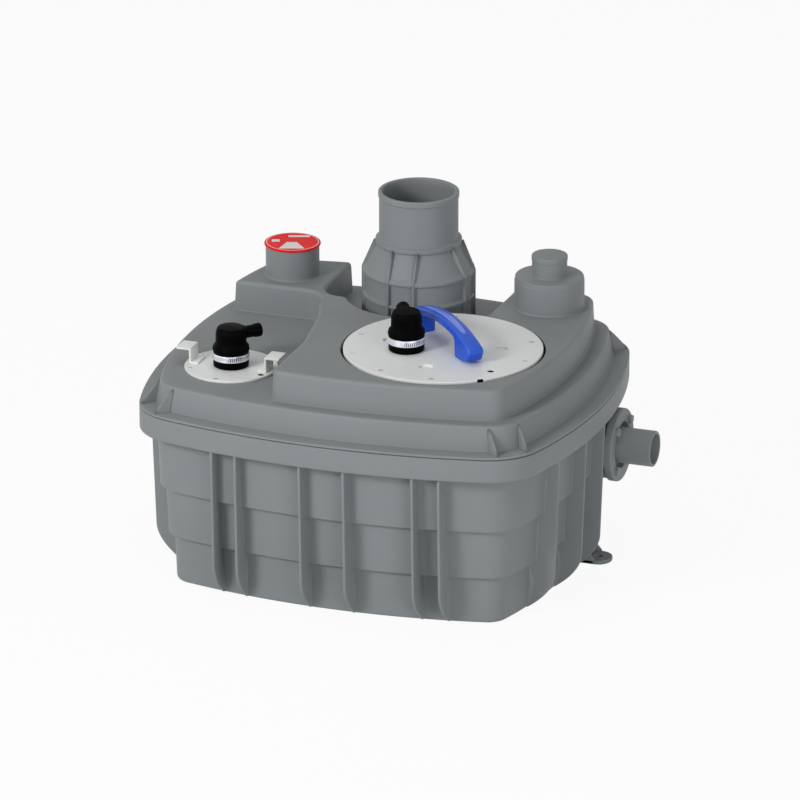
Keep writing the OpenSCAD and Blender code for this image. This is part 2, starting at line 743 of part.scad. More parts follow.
module vent_cap() {
    color(red) translate([vent_at[0], vent_at[1], plateau_z + vent_h]) {
        cylinder(d = cap_d, h = cap_t);
        translate([0, 0, -cap_plug_h]) ring(vent_d / 2 - vent_wall - fit_gap,
            vent_d / 2 - vent_wall - fit_gap - 2.5, cap_plug_h + eps);
    }
}

// pump plate

module at_columns(z, r = column_pcr) {
    for (a = column_a) at_pump(z) rotate(a) translate([r, 0, 0]) children();
}

module at_plate_screws(z) {
    for (i = [0 : plate_screw_n - 1]) if (i != free_place) at_pump(z)
        rotate(plate_screw_a + i * 360 / plate_screw_n) translate([plate_screw_pcd / 2, 0, 0]) children();
}

module motor_plate() {
    color(off_white) difference() {
        union() {
            at_pump(seat_z) cylinder(d = plate_d, h = plate_t);
            translate([boot_at[0], boot_at[1], plate_z - eps]) cylinder(r = collar_out_r, h = collar_up);
        }
        translate([boot_at[0], boot_at[1], seat_z - 1]) cylinder(r = cable_r + 2, h = plate_t + collar_up + 2);
        at_columns(plate_z - 3.6) cylinder(r = 10, h = 4);
        at_columns(seat_z - 1) cylinder(r = 4.25, h = plate_t + 2);
        at_plate_screws(plate_z - 2.6) cylinder(r = 4.2, h = 3);
        at_plate_screws(seat_z - 1) cylinder(r = 2.25, h = plate_t + 2);
        at_pump(plate_z - 4) rotate(-36) translate([relief_r, 0, 0]) cylinder(r = 4, h = 5);
        at_pump(seat_z - 1) rotate(-49) translate([plate_d / 2 - 3, -3.5, 0]) cube([6, 7, plate_t + 2]);
        at_handle() for (s = [-1, 1]) translate([s * (grip_l / 2 + 12), 0, seat_z - 1])
            cylinder(r = 3.25, h = plate_t + 2);
    }
}

module motor_plate_seal() {
    color(black) at_pump(seat_z - 2 + fit_gap / 2)
        ring(hatch_d / 2 + 6 - fit_gap, hatch_d / 2 + 2 + fit_gap, 2 - fit_gap);
}

module motor_plate_screws() {
    color(steel) at_plate_screws(plate_z - 0.4) screw(3.9, 2.2, 1.9, 12);
}

module at_handle() { translate([handle_at[0], handle_at[1], 0]) rotate(handle_a) children(); }

// Lifting handle: an arched grip on two feet, seen from its side and extruded across
module lifting_handle() {
    sag = handle_h - handle_end_h;
    arch_r = (pow(handle_l / 2, 2) + sag * sag) / (2 * sag);
    end_a = asin(handle_l / 2 / arch_r);
    grip_a = asin((grip_l / 2 - 4) / arch_r);
    top = [for (i = [0 : 12]) let (a = end_a - i * end_a / 6)
        [arch_r * sin(a), handle_h - arch_r * (1 - cos(a))]];
    under = [for (i = [0 : 8]) let (a = -grip_a + i * grip_a / 4)
        [arch_r * sin(a), handle_h - grip_t - arch_r * (1 - cos(a))]];
    color(blue) difference() {
        at_handle() translate([0, handle_w / 2, plate_z]) rotate([90, 0, 0]) linear_extrude(handle_w)
            polygon(concat(top, [[-handle_l / 2 + 4, 7], [-grip_l / 2 - 24, 0], [-grip_l / 2, 0]], under,
                [[grip_l / 2, 0], [grip_l / 2 + 24, 0], [handle_l / 2 - 4, 7]]));
        at_handle() for (s = [-1, 1]) translate([s * (grip_l / 2 + 12), 0, plate_z - 1])
            cylinder(r = 3 + fit_gap / 2, h = 16);
    }
}

module handle_screws() {
    color(steel) at_handle() for (s = [-1, 1]) translate([s * (grip_l / 2 + 12), 0, seat_z - 4]) {
        cylinder(r = 3, h = 4 + plate_t + 13);
        hex(5.5, 4 - eps);
    }
}

// cable boots

// Rubber boot over a collar, with a side spout in direction a
module boot(a) {
    inner_r = collar_out_r + fit_gap;
    color(black) rotate(a - 90) difference() {
        union() {
            rotate_extrude() polygon([[0, 0], [boot_r, 0], [boot_r, clamp_z + clamp_w + 1],
                [boot_r + 0.7, clamp_z + clamp_w + 3], [boot_r, clamp_z + clamp_w + 8],
                [boot_neck_r, clamp_z + clamp_w + 12], [boot_neck_r, boot_h - 5],
                [boot_neck_r - 3, boot_h - 1], [boot_neck_r - 6, boot_h], [0, boot_h]]);
            along_y(0, 0, spout_h) cylinder(r = spout_r, h = spout_l);
            along_y(0, spout_l - 8, spout_h) cylinder(r = spout_r + 1, h = 8);
        }
        translate([0, 0, -1]) cylinder(r = inner_r, h = collar_up + fit_gap + 1);
        cylinder(r = cable_r + 2, h = spout_h + cable_r);
        along_y(0, 0, spout_h) cylinder(r = cable_r, h = spout_l + 1);
    }
}

// Worm-drive clamp band round a boot, its screw housing in direction a
module boot_clamp(a) {
    in_r = boot_r + fit_gap;
    color(steel) translate([0, 0, clamp_z]) difference() {
        union() {
            cylinder(r = in_r + clamp_t, h = clamp_w);
            rotate(a) translate([in_r - 2, -7, 0.4]) cube([9.3, 14, clamp_w - 0.8]);
        }
        translate([0, 0, -1]) cylinder(r = in_r, h = clamp_w + 2);
        rotate(a) translate([in_r + 4.2, 0, clamp_w / 2]) rotate([90, 0, 0])
            cylinder(r = 2.6, h = 30, center = true);
    }
}

module clamp_screw(a) {
    color(steel) translate([0, 0, clamp_z]) rotate(a) translate([boot_r + fit_gap + 4.2, 0, clamp_w / 2])
        rotate([90, 0, 0]) {
            translate([0, 0, -7]) cylinder(r = 2.5, h = 14 + eps);
            translate([0, 0, 7]) cylinder(r = 3.8, h = 4);
        }
}

module at_motor_boot() { translate([boot_at[0], boot_at[1], plate_z]) children(); }
module motor_boot() { at_motor_boot() boot(motor_spout_a); }
module motor_boot_clamp() { at_motor_boot() boot_clamp(150); }
module sensor_boot() { at_sensor(sensor_z) boot(sensor_spout_a); }
module sensor_boot_clamp() { at_sensor(sensor_z) boot_clamp(120); }
module clamp_screws() {
    at_motor_boot() clamp_screw(150);
    at_sensor(sensor_z) clamp_screw(120);
}

// sensor plate

module sensor_plate() {
    color(off_white) difference() {
        union() {
            at_sensor(terrace_z) cylinder(d = sensor_plate_d, h = sensor_plate_t);
            at_sensor(sensor_z - eps) cylinder(r = collar_out_r, h = collar_up);
            at_sensor(terrace_z - 30) cylinder(r = dip_r - dip_wall - fit_gap, h = 30 + eps);
        }
        at_sensor(terrace_z - 31) cylinder(r = cable_r + 2, h = 60 + collar_up);
        at_sensor(terrace_z - 31) cylinder(r = dip_r - dip_wall - 4, h = 25);
        at_sensor(sensor_z - 1.6) around(sensor_screw_n, sensor_screw_pcd / 2, sensor_screw_a)
            cylinder(r = 3.4, h = 2);
        at_sensor(terrace_z - 1) around(sensor_screw_n, sensor_screw_pcd / 2, sensor_screw_a)
            cylinder(r = 1.9, h = sensor_plate_t + 2);
    }
}

module sensor_plate_seal() {
    color(black) at_sensor(terrace_z - 2 + fit_gap / 2)
        ring(sensor_hatch_d / 2 + 5 - fit_gap, sensor_hatch_d / 2 + 1.5 + fit_gap, 2 - fit_gap);
}

module sensor_plate_screws() {
    color(steel) at_sensor(sensor_z - 0.2)
        for (i = [0 : sensor_screw_n - 1]) if (i != sensor_free_place)
            rotate(sensor_screw_a + i * 360 / sensor_screw_n) translate([sensor_screw_pcd / 2, 0, 0])
                screw(3.2, 1.3, 1.5, 9);
}

// Z-shaped lifting grip: a foot, a post and an arm that points outwards
module lifting_grip(s) {
    color([0.9, 0.9, 0.89]) at_sensor(sensor_z) translate([s * grip_x, lift_l / 2, 0]) rotate([90, 0, 0])
        linear_extrude(lift_l) polygon([[-s * 12, 0], [s * lift_t / 2, 0], [s * lift_t / 2, lift_h - lift_t],
            [s * lift_arm, lift_h - lift_t], [s * lift_arm, lift_h], [-s * lift_t / 2, lift_h],
            [-s * lift_t / 2, lift_t], [-s * 12, lift_t]]);
}

module left_lifting_grip() { lifting_grip(-1); }
module right_lifting_grip() { lifting_grip(1); }

module dip_tube() {
    color(off_white) at_sensor(floor_t + dip_clear)
        ring(dip_r, dip_r - dip_wall, terrace_z - floor_t - dip_clear - fit_gap);
}

module level_sensor() {
    color(iron) at_sensor(terrace_z - 31) {
        translate([0, 0, -34]) cylinder(r = dip_r - dip_wall - 5, h = 34);
        cylinder(r = dip_r - dip_wall - 4 - fit_gap, h = 24);
        translate([0, 0, 24 - eps]) cylinder(r = cable_r, h = 12);
    }
}

// discharge port

module discharge_flange() {
    color(grey) difference() {
        union() {
            along_x(flange_x, port_y, port_z) cylinder(d = flange_d, h = flange_t);
            along_x(chamber_end_x + 1, port_y, port_z) cylinder(d = pipe_d, h = port_tip_x - chamber_end_x - 1);
        }
        along_x(0, port_y, port_z) cylinder(r = pipe_bore_r, h = tank_w);
        along_x(flange_x + flange_t - flange_dish, port_y, port_z) ring(dish_r, pipe_r + 1.5, flange_dish + 1);
        port_bolts(3.3, flange_t + 1);
    }
}

module flange_gasket() {
    color(black) difference() {
        along_x(port_face_x, port_y, port_z) cylinder(d = boss_d, h = gasket_t);
        along_x(0, port_y, port_z) cylinder(r = pipe_r + fit_gap, h = tank_w);
        port_bolts(3.3, 30);
    }
}

module flange_bolts() {
    color(steel) for (a = [45 : 90 : 315])
        along_x(flange_x, port_y + flange_pcd / 2 * cos(a), port_z + flange_pcd / 2 * sin(a)) {
            translate([0, 0, flange_t]) hex(6.4, bolt_head_h);
            translate([0, 0, -14]) cylinder(r = 2.9, h = 14 + flange_t + eps);
        }
}

// check valve and riser

module check_valve_body() {
    color(iron) difference() {
        along_x(valve_x, port_y, port_z) cylinder(r = valve_r, h = valve_l);
        along_x(valve_x - 1, port_y, port_z) cylinder(r = pipe_r + fit_gap, h = socket_l + 1);
        along_x(valve_x, port_y, port_z) cylinder(r = pipe_bore_r, h = valve_l / 2);
        along_x(seat_x, port_y, port_z) cylinder(r = chamber_r, h = chamber_end_x - seat_x);
        along_x(chamber_end_x - 1, port_y, port_z) cylinder(r = pipe_r + fit_gap, h = socket_l + 2);
        along_y(hinge_x, port_y - 7, port_z + hinge_up) cylinder(r = 5.6, h = 14);
        along_y(hinge_x, port_y - 26, port_z + hinge_up) cylinder(r = hinge_pin_r + run_gap, h = 52);
    }
}

module valve_flap() {
    color(steel) difference() {
        union() {
            along_x(seat_x + fit_gap, port_y, port_z) cylinder(r = flap_r, h = flap_t);
            along_y(hinge_x, port_y - 6, port_z + hinge_up) cylinder(r = 5, h = 12);
        }
        along_y(hinge_x, port_y - 7, port_z + hinge_up) cylinder(r = hinge_pin_r + run_gap, h = 14);
    }
}

module hinge_pin() {
    color(steel) along_y(hinge_x, port_y - 25.5, port_z + hinge_up) cylinder(r = hinge_pin_r, h = 51);
}

// Quarter bend in the plane of x and y, from the x axis, of centreline radius r
module bend(r, tube_r) {
    rotate_extrude(angle = 90) translate([r, 0]) circle(r = tube_r);
}

module riser_path(tube_r, over = 0) {
    along_y(outlet_x, riser_start_y - over, outlet_z)
        cylinder(r = tube_r, h = port_y - riser_bend_r - riser_start_y + over);
    translate([outlet_x, port_y - riser_bend_r, outlet_z + riser_bend_r]) rotate([0, 0, 90])
        rotate([90, 0, 0]) rotate(-90) bend(riser_bend_r, tube_r);
    translate([outlet_x, port_y, outlet_z + riser_bend_r]) cylinder(r = tube_r, h = riser_rise);
    translate([outlet_x + riser_top_r, port_y, port_z - riser_top_r]) rotate([90, 0, 0])
        rotate(90) bend(riser_top_r, tube_r);
    along_x(outlet_x + riser_top_r, port_y, port_z)
        cylinder(r = tube_r, h = valve_x + socket_l - 0.5 - outlet_x - riser_top_r + over);
}

module riser_pipe() {
    color(grey) difference() {
        riser_path(pipe_r);
        riser_path(pipe_bore_r, 1);
    }
}

module outlet_sleeve() {
    color(black) along_y(outlet_x, riser_start_y - 1 - sleeve_l / 2, outlet_z)
        ring(pipe_r + fit_gap + sleeve_t, pipe_r + fit_gap, sleeve_l);
}

// pump

module pump_casing() {
    color(iron) difference() {
        union() {
            at_pump(chamber_z) cylinder(r = casing_r, h = casing_top_z - chamber_z);
            along_y(outlet_x, pump_at[1], outlet_z)
                cylinder(r = pipe_r, h = riser_start_y - 2 - pump_at[1]);
        }
        at_pump(chamber_z - 1) cylinder(r = casing_bore_r, h = chamber_h + 1);
        along_y(outlet_x, pump_at[1], outlet_z) cylinder(r = pipe_bore_r, h = tank_d);
        at_pump(ceiling_z - 1) cylinder(r = shaft_r + 2, h = 30);
        at_pump(ceiling_z + 2) cylinder(r = shaft_r + 8 + fit_gap, h = 30);
        at_pump(casing_top_z - 12) around(4, housing_bolt_r, 20) cylinder(r = 3, h = 13);
        at_pump(chamber_z - 1) around(4, casing_bore_r + 4, 45) cylinder(r = 1.6, h = 13);
    }
}

module suction_cover() {
    color(iron) at_pump(pump_z) difference() {
        cylinder(r = casing_r, h = cover_t);
        translate([0, 0, -1]) cylinder(r = suction_r, h = cover_t + 2);
        translate([0, 0, -1]) around(4, casing_bore_r + 4, 45) cylinder(r = 2, h = cover_t + 2);
    }
}

module suction_screws() {
    color(steel) at_pump(pump_z) around(4, casing_bore_r + 4, 45) mirror([0, 0, 1])
        translate([0, 0, 3]) screw(3, 3, 1.5, cover_t + 10);
}

module impeller() {
    hub_z = ceiling_z - 36;
    color(iron) at_pump() difference() {
        union() {
            translate([0, 0, ceiling_z - 9]) cylinder(r = impeller_r, h = 6);
            translate([0, 0, hub_z]) cylinder(r = shaft_r + 7, h = 33);
            for (i = [0 : vane_n - 1]) rotate(i * 360 / vane_n)
                translate([shaft_r + 4, -2.5, ceiling_z - 31]) cube([impeller_r - shaft_r - 6, 5, 23]);
        }
        translate([0, 0, hub_z - 1]) cylinder(r = shaft_r + 0.02, h = 40);
    }
}

module impeller_nut() {
    color(steel) at_pump(ceiling_z - 46) difference() {
        hex(15, 10 - 0.02);
        translate([0, 0, -1]) cylinder(r = shaft_r + 0.02, h = 20);
    }
}

module pump_shaft() {
    color(steel) at_pump(ceiling_z - 50) cylinder(r = shaft_r, h = top_cover_z - 2 - ceiling_z + 50);
}

module shaft_seal() {
    color(black) at_pump(ceiling_z + 2.2) ring(shaft_r + 8, shaft_r + run_gap, 11.6);
}

module motor_housing() {
    color(iron) difference() {
        union() {
            at_pump(casing_top_z) cylinder(r = flange_out_r, h = 8);
            at_pump(casing_top_z) cylinder(r = motor_r, h = top_cover_z - casing_top_z);
        }
        at_pump(low_bearing_z) ring(motor_r - motor_wall, bearing_r + 6, 20);
        at_pump(low_bearing_z + bearing_w) cylinder(r = motor_r - motor_wall, h = motor_l);
        at_pump(low_bearing_z) cylinder(r = bearing_r + 0.02, h = bearing_w + 1);
        at_pump(casing_top_z - 1) cylinder(r = shaft_r + 3, h = housing_floor_t + 2);
        at_pump(casing_top_z - 1) around(4, housing_bolt_r, 20) cylinder(r = 3.3, h = 10);
        at_pump(top_cover_z - 12) around(4, motor_r - motor_wall / 2, 60) cylinder(r = 1.3, h = 13);
    }
}

module housing_bolts() {
    color(steel) at_pump(casing_top_z + 8) around(4, housing_bolt_r, 20) {
        hex(5.8, 4);
        translate([0, 0, -18]) cylinder(r = 2.9, h = 18 + eps);
    }
}

module bearing_groove() {
    rotate_extrude() translate([(shaft_r + bearing_r) / 2, bearing_w / 2]) circle(r = ball_r + 0.1);
}

module bearing_outer() {
    color(steel) difference() {
        cylinder(r = bearing_r, h = bearing_w);
        translate([0, 0, -1]) cylinder(r = (shaft_r + bearing_r) / 2 + 2.4, h = bearing_w + 2);
        bearing_groove();
    }
}

module bearing_inner() {
    color(steel) {
        difference() {
            cylinder(r = (shaft_r + bearing_r) / 2 - 2.4, h = bearing_w);
            translate([0, 0, -1]) cylinder(r = shaft_r + 0.02, h = bearing_w + 2);
            bearing_groove();
        }
        translate([0, 0, bearing_w / 2]) around(ball_n, (shaft_r + bearing_r) / 2) sphere(r = ball_r);
    }
}

module lower_bearing() { at_pump(low_bearing_z) bearing_outer(); }
module lower_bearing_inner() { at_pump(low_bearing_z) bearing_inner(); }
module upper_bearing() { at_pump(top_bearing_z) bearing_outer(); }
module upper_bearing_inner() { at_pump(top_bearing_z) bearing_inner(); }

module stator() {
    color([0.42, 0.43, 0.45]) at_pump(core_z)
        ring(motor_r - motor_wall - 0.02, rotor_r + air_gap, core_l);
}

module stator_windings() {
    color(copper) at_pump() for (z = [core_z - 12, core_z + core_l])
        translate([0, 0, z]) ring(motor_r - motor_wall - 4, rotor_r + 5, 12);
}

module rotor_core() {
    color(steel) at_pump(core_z) ring(rotor_r, shaft_r + 0.02, core_l);
}

module motor_top_cover() {
    color(iron) difference() {
        union() {
            at_pump(top_cover_z) cylinder(r = hanger_r, h = top_cover_t);
            at_pump(top_bearing_z) cylinder(r = bearing_r + 6, h = top_cover_z - top_bearing_z + eps);
        }
        at_pump(top_bearing_z - 1) cylinder(r = bearing_r + 0.02, h = bearing_w + 1);
        at_pump(top_bearing_z) cylinder(r = bearing_r - 4, h = top_cover_z - top_bearing_z + 3);
        at_columns(top_cover_z - 1) cylinder(r = 4.25, h = top_cover_t + 2);
        at_pump(top_cover_z - 1) around(4, motor_r - motor_wall / 2, 60) cylinder(r = 1.5, h = top_cover_t + 2);
    }
}

module top_cover_bolts() {
    color(steel) at_pump(column_z) around(4, motor_r - motor_wall / 2, 60) {
        cylinder(r = 3, h = 3);
        translate([0, 0, -22]) cylinder(r = 1.2, h = 22 + eps);
    }
}

module hanger_columns() {
    color(steel) at_columns(column_z) difference() {
        union() {
            cylinder(r = column_r, h = seat_z - column_z);
            translate([0, 0, -top_cover_t - 9]) cylinder(r = 4, h = top_cover_t + 9 + eps);
        }
        translate([0, 0, seat_z - column_z - 26]) cylinder(r = 4.1, h = 27);
    }
}

module column_bolts() {
    color(steel) at_columns(plate_z - 0.6) screw(7, 3, 4, 26);
}

module column_nuts() {
    color(steel) at_columns(top_cover_z - 7) difference() {
        hex(7.5, 7);
        translate([0, 0, -1]) cylinder(r = 4.1, h = 9);
    }
}

tank();
lid();
inlet_tower();
inlet_seal();
vent_cap();
motor_plate();
motor_plate_seal();
motor_plate_screws();
lifting_handle();
handle_screws();
motor_boot();
motor_boot_clamp();
sensor_plate();
sensor_plate_seal();
sensor_plate_screws();
left_lifting_grip();
right_lifting_grip();
sensor_boot();
sensor_boot_clamp();
clamp_screws();
dip_tube();
level_sensor();
discharge_flange();
flange_gasket();
flange_bolts();
check_valve_body();
valve_flap();
hinge_pin();
riser_pipe();
outlet_sleeve();
pump_casing();
suction_cover();
suction_screws();
impeller();
impeller_nut();
pump_shaft();
shaft_seal();
motor_housing();
housing_bolts();
lower_bearing();
lower_bearing_inner();
upper_bearing();
upper_bearing_inner();
stator();
stator_windings();
rotor_core();
motor_top_cover();
top_cover_bolts();
hanger_columns();
column_bolts();
column_nuts();
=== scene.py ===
"""Dressed model of a sewage lifting station that stands on the floor.

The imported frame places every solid. This script lays moulded skins over the solids that show, gives
every node its finish, and sets the floor, the lamps and the camera. A shape is worked out in
millimetres as whole arrays and becomes a mesh in metres, in the frame's own axes: X towards the
discharge port, Y towards the inlet tower at the back, Z up.
"""

from __future__ import annotations

import json
import logging
import math
from dataclasses import dataclass
from enum import Enum
from typing import Sequence

import bmesh
import bpy
import numpy as np
from mathutils import Matrix, Vector
from mathutils.geometry import delaunay_2d_cdt

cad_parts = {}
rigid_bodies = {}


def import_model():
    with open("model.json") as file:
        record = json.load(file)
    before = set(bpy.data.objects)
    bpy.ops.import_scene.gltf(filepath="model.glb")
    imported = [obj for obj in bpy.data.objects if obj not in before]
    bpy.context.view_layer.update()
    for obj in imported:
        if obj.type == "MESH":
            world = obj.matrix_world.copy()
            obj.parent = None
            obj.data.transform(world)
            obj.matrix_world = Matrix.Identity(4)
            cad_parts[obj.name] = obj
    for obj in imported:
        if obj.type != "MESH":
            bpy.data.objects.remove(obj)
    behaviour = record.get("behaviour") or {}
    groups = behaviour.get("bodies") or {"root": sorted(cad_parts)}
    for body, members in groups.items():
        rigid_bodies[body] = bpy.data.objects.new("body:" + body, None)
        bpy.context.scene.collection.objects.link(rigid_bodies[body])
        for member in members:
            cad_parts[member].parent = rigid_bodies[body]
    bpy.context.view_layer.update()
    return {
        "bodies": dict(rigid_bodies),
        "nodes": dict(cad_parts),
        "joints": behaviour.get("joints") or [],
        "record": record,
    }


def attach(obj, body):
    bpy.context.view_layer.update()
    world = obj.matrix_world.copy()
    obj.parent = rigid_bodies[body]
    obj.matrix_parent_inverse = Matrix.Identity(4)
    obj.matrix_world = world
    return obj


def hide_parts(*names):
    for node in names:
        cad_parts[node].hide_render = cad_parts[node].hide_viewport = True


LOG = logging.getLogger("lifting_station")
Array = np.ndarray
MM = 0.001
IMAGE_PX = 800
STATION = "station"
# Radius that stands for the axis in a profile, so that no face there collapses
AXIS = 0.01
# Width of the flat ring that a rounded rim ends in
LAND = 0.3
# Least radius that a rounded corner keeps when its line is inset
LEAST_R = 0.2
# Angle in degrees over which an edge stays sharp
SHARP = 52.0
# Distance in metres under which two points become one
MERGE = 8e-6
TINY = 1e-12


class Facing(Enum):
    """Which way a flat face looks along its own Z."""

    UP = 1
    DOWN = -1


# curves


def arc_points(
    radius: float, steps: int, start: float = 0.0, end: float = 2 * math.pi, closed: bool = True
) -> Array:
    """Points r (cos a, sin a) with a from start to end; a closed one leaves its last point out.

    Args:
        radius: radius r.
        steps: number of steps.
        start: first angle in radians.
        end: last angle in radians.
        closed: whether the last point is left out.

    Returns:
        Array of shape (n, 2).
    """
    angle = np.linspace(start, end, steps + 1)
    angle = angle[:-1] if closed else angle
    return radius * np.stack([np.cos(angle), np.sin(angle)], axis=1)


def turned(rows: Sequence, steps: int = 6, closed: bool = False, inset: Array | float = 0.0) -> Array:
    """Line through corners, moved sideways by an inset, with each corner turned into an arc.

    A corner V whose sides run along a and b, with left normals m and n, moves by
    inset (m + n) / (1 + m.n). Its radius r loses the inset on a left turn and gains it on a right
    turn. With t the angle of the turn and s its sign, the arc is
    V - a r tan(t / 2) + r (sin p a + s (1 - cos p) m), p from 0 to t.

    Args:
        rows: corners as (x, y, r); a radius r of 0 keeps the corner as one point.
        steps: steps of each arc.
        closed: whether the last corner joins the first.
        inset: one inset, or one for each corner, to the left of the line.

    Returns:
        Points of shape (m, 2), the same number at every inset.
    """
    line = np.asarray(rows, float)
    corner, radius = line[:, :2], line[:, 2]
    move = np.broadcast_to(np.asarray(inset, float), radius.shape)
    ahead = np.roll(corner, -1, axis=0) - corner
    ahead /= np.maximum(np.linalg.norm(ahead, axis=1, keepdims=True), TINY)
    behind = np.roll(ahead, 1, axis=0)
    if not closed:
        behind[0], ahead[-1] = ahead[0], behind[-1]
    left_in = np.stack([-behind[:, 1], behind[:, 0]], axis=1)
    left_out = np.stack([-ahead[:, 1], ahead[:, 0]], axis=1)
    dot = (behind * ahead).sum(axis=1)
    turn = np.arctan2(behind[:, 0] * ahead[:, 1] - behind[:, 1] * ahead[:, 0], dot)
    moved = corner + move[:, None] * (left_in + left_out) / (1 + dot)[:, None]
    radius = np.where(radius > 0, np.maximum(radius - np.sign(turn) * move, LEAST_R), 0.0)
    count = np.where(radius > 0, steps + 1, 1)
    k = np.repeat(np.arange(len(corner)), count)
    first = np.cumsum(count) - count
    share = (np.arange(len(k)) - first[k]) / np.maximum(count[k] - 1, 1)
    p, r, s = np.abs(turn)[k] * share, radius[k], np.sign(turn)[k]
    start = moved[k] - behind[k] * (r * np.tan(np.abs(turn)[k] / 2))[:, None]
    rise = (s * (1 - np.cos(p)))[:, None] * left_in[k]
    return start + r[:, None] * (np.sin(p)[:, None] * behind[k] + rise)


def placing(origin: Sequence[float], along: Sequence[float] = (0, 0, 1), turn: float = 0.0) -> Array:
    """Matrix that carries local Z onto a direction, after a turn about local Z.

    Args:
        origin: where local zero goes, in millimetres.
        along: world direction of local Z, (0, 0, 1) or (1, 0, 0).
        turn: angle in degrees.

    Returns:
        Matrix of shape (4, 4).
    """
    c, s = math.cos(math.radians(turn)), math.sin(math.radians(turn))
    spin = np.array([[c, -s, 0], [s, c, 0], [0, 0, 1.0]])
    axes = np.eye(3) if along[2] else np.array([[0, 0, 1.0], [1, 0, 0], [0, 1, 0]])
    out = np.eye(4)
    out[:3, :3], out[:3, 3] = axes @ spin, origin
    return out


# skins


class Skin:
    """Gathers patches of surface, in millimetres, and turns them into one mesh in metres."""

    def __init__(self) -> None:
        """Starts with no patches, at the frame's own origin."""
        self.points: list[Array] = []
        self.faces: list[list[int]] = []
        self.count = 0
        self.place = np.eye(4)

    def at(self, place: Array) -> "Skin":
        """Sets the matrix that later patches are carried by."""
        self.place = place
        return self

    def keep(self, points: Array, faces: Array) -> None:
        """Stores points of shape (n, 3) and faces of shape (m, 3) or (m, 4) as one patch."""
        world = points @ self.place[:3, :3].T + self.place[:3, 3]
        if np.linalg.det(self.place[:3, :3]) < 0:
            faces = faces[:, ::-1]
        self.points.append(world)
        self.faces.extend((faces + self.count).tolist())
        self.count += len(points)

    def grid(self, net: Array, around: bool = True, along: bool = False, flip: bool = False) -> None:
        """Quads over a net of points; a ring that runs left with rows that go up faces outwards.

        Args:
            net: points of shape (rows, columns, 3).
            around: whether the last column joins the first.
            along: whether the last row joins the first.
            flip: whether the faces look the other way.
        """
        rows, cols = net.shape[:2]
        i = np.arange(rows if along else rows - 1)[:, None]
        j = np.arange(cols if around else cols - 1)[None, :]
        up, on = (i + 1) % rows, (j + 1) % cols
        quads = np.stack([i * cols + j, i * cols + on, up * cols + on, up * cols + j], axis=-1)
        quads = quads.reshape(-1, 4)
        self.keep(net.reshape(-1, 3), quads[:, ::-1] if flip else quads)

    def fan(self, ring: Array, flip: bool = False) -> None:
        """Triangles from a ring of points of shape (n, 3) to its middle."""
        n = len(ring)
        i = np.arange(n)
        faces = np.stack([i, (i + 1) % n, np.full(n, n)], axis=1)
        self.keep(np.vstack([ring, ring.mean(axis=0)]), faces[:, ::-1] if flip else faces)

    def fill(self, outer: Array, holes: Sequence[Array], z: float, facing: Facing = Facing.UP) -> None:
        """Flat face between an outer loop and its holes.

        The loops are triangulated together, and a triangle stays where a ray from its centre crosses
        them an odd number of times.

        Args:
            outer: loop of shape (n, 2).
            holes: loops of shape (n, 2).
            z: height of the face.
            facing: the way it looks.
        """
        loops = [outer, *holes]
        points = np.concatenate(loops)
        ends = np.cumsum([len(loop) for loop in loops])
        starts = ends - [len(loop) for loop in loops]
        on = np.concatenate([np.roll(np.arange(a, b), -1) for a, b in zip(starts, ends)])
        edges = np.stack([np.arange(len(points)), on], axis=1)
        verts, _, faces, *_ = delaunay_2d_cdt(points.tolist(), edges.tolist(), [], 1, 1e-6)
        flat, tri = np.array(verts, float).reshape(-1, 2), np.array(faces, int)
        x, y = flat[tri].mean(axis=1).T[:, :, None]
        a, b = points, points[on]
        rise = np.where(np.abs(b[:, 1] - a[:, 1]) < TINY, TINY, b[:, 1] - a[:, 1])
        crossing_x = (b[:, 0] - a[:, 0]) * (y - a[:, 1]) / rise + a[:, 0]
        crossed = ((a[:, 1] > y) != (b[:, 1] > y)) & (x < crossing_x)
        tri = tri[crossed.sum(axis=1) % 2 == 1]
        p, q, r = flat[tri[:, 0]], flat[tri[:, 1]], flat[tri[:, 2]]
        area = (q - p)[:, 0] * (r - p)[:, 1] - (q - p)[:, 1] * (r - p)[:, 0]
        wrong = area * facing.value < 0
        tri[wrong] = tri[wrong][:, ::-1]
        self.keep(np.column_stack([flat, np.full(len(flat), z)]), tri)

    def lathe(self, rows: Sequence, fine: int, steps: int, closed: bool = False) -> None:
        """Line through corners, rounded off and carried round local Z: (r cos a, r sin a, z).

        Args:
            rows: corners as (radius, height, rounding), from the bottom outwards and up.
            fine: steps of each rounded corner.
            steps: steps round the axis.
            closed: whether the line is a closed loop.
        """
        profile = turned(rows, fine, closed)
        net = np.empty((len(profile), steps, 3))
        net[:, :, :2] = profile[:, None, :1] * arc_points(1.0, steps)[None]
        net[:, :, 2] = profile[:, 1:]
        self.grid(net, along=closed)

    def mesh(self, name: str) -> bpy.types.Mesh:
        """The patches as one smooth mesh in metres, with doubles merged and sharp edges kept sharp."""
        mesh = bpy.data.meshes.new(name)
        mesh.from_pydata(np.vstack(self.points) * MM, [], self.faces)
        work = bmesh.new()
        work.from_mesh(mesh)
        bmesh.ops.remove_doubles(work, verts=work.verts, dist=MERGE)
        loose = [v for v in work.verts if not v.link_faces]
        bmesh.ops.delete(work, geom=loose, context="VERTS")
        work.to_mesh(mesh)
        work.free()
        mesh.shade_smooth()
        mesh.set_sharp_from_angle(angle=math.radians(SHARP))
        return mesh


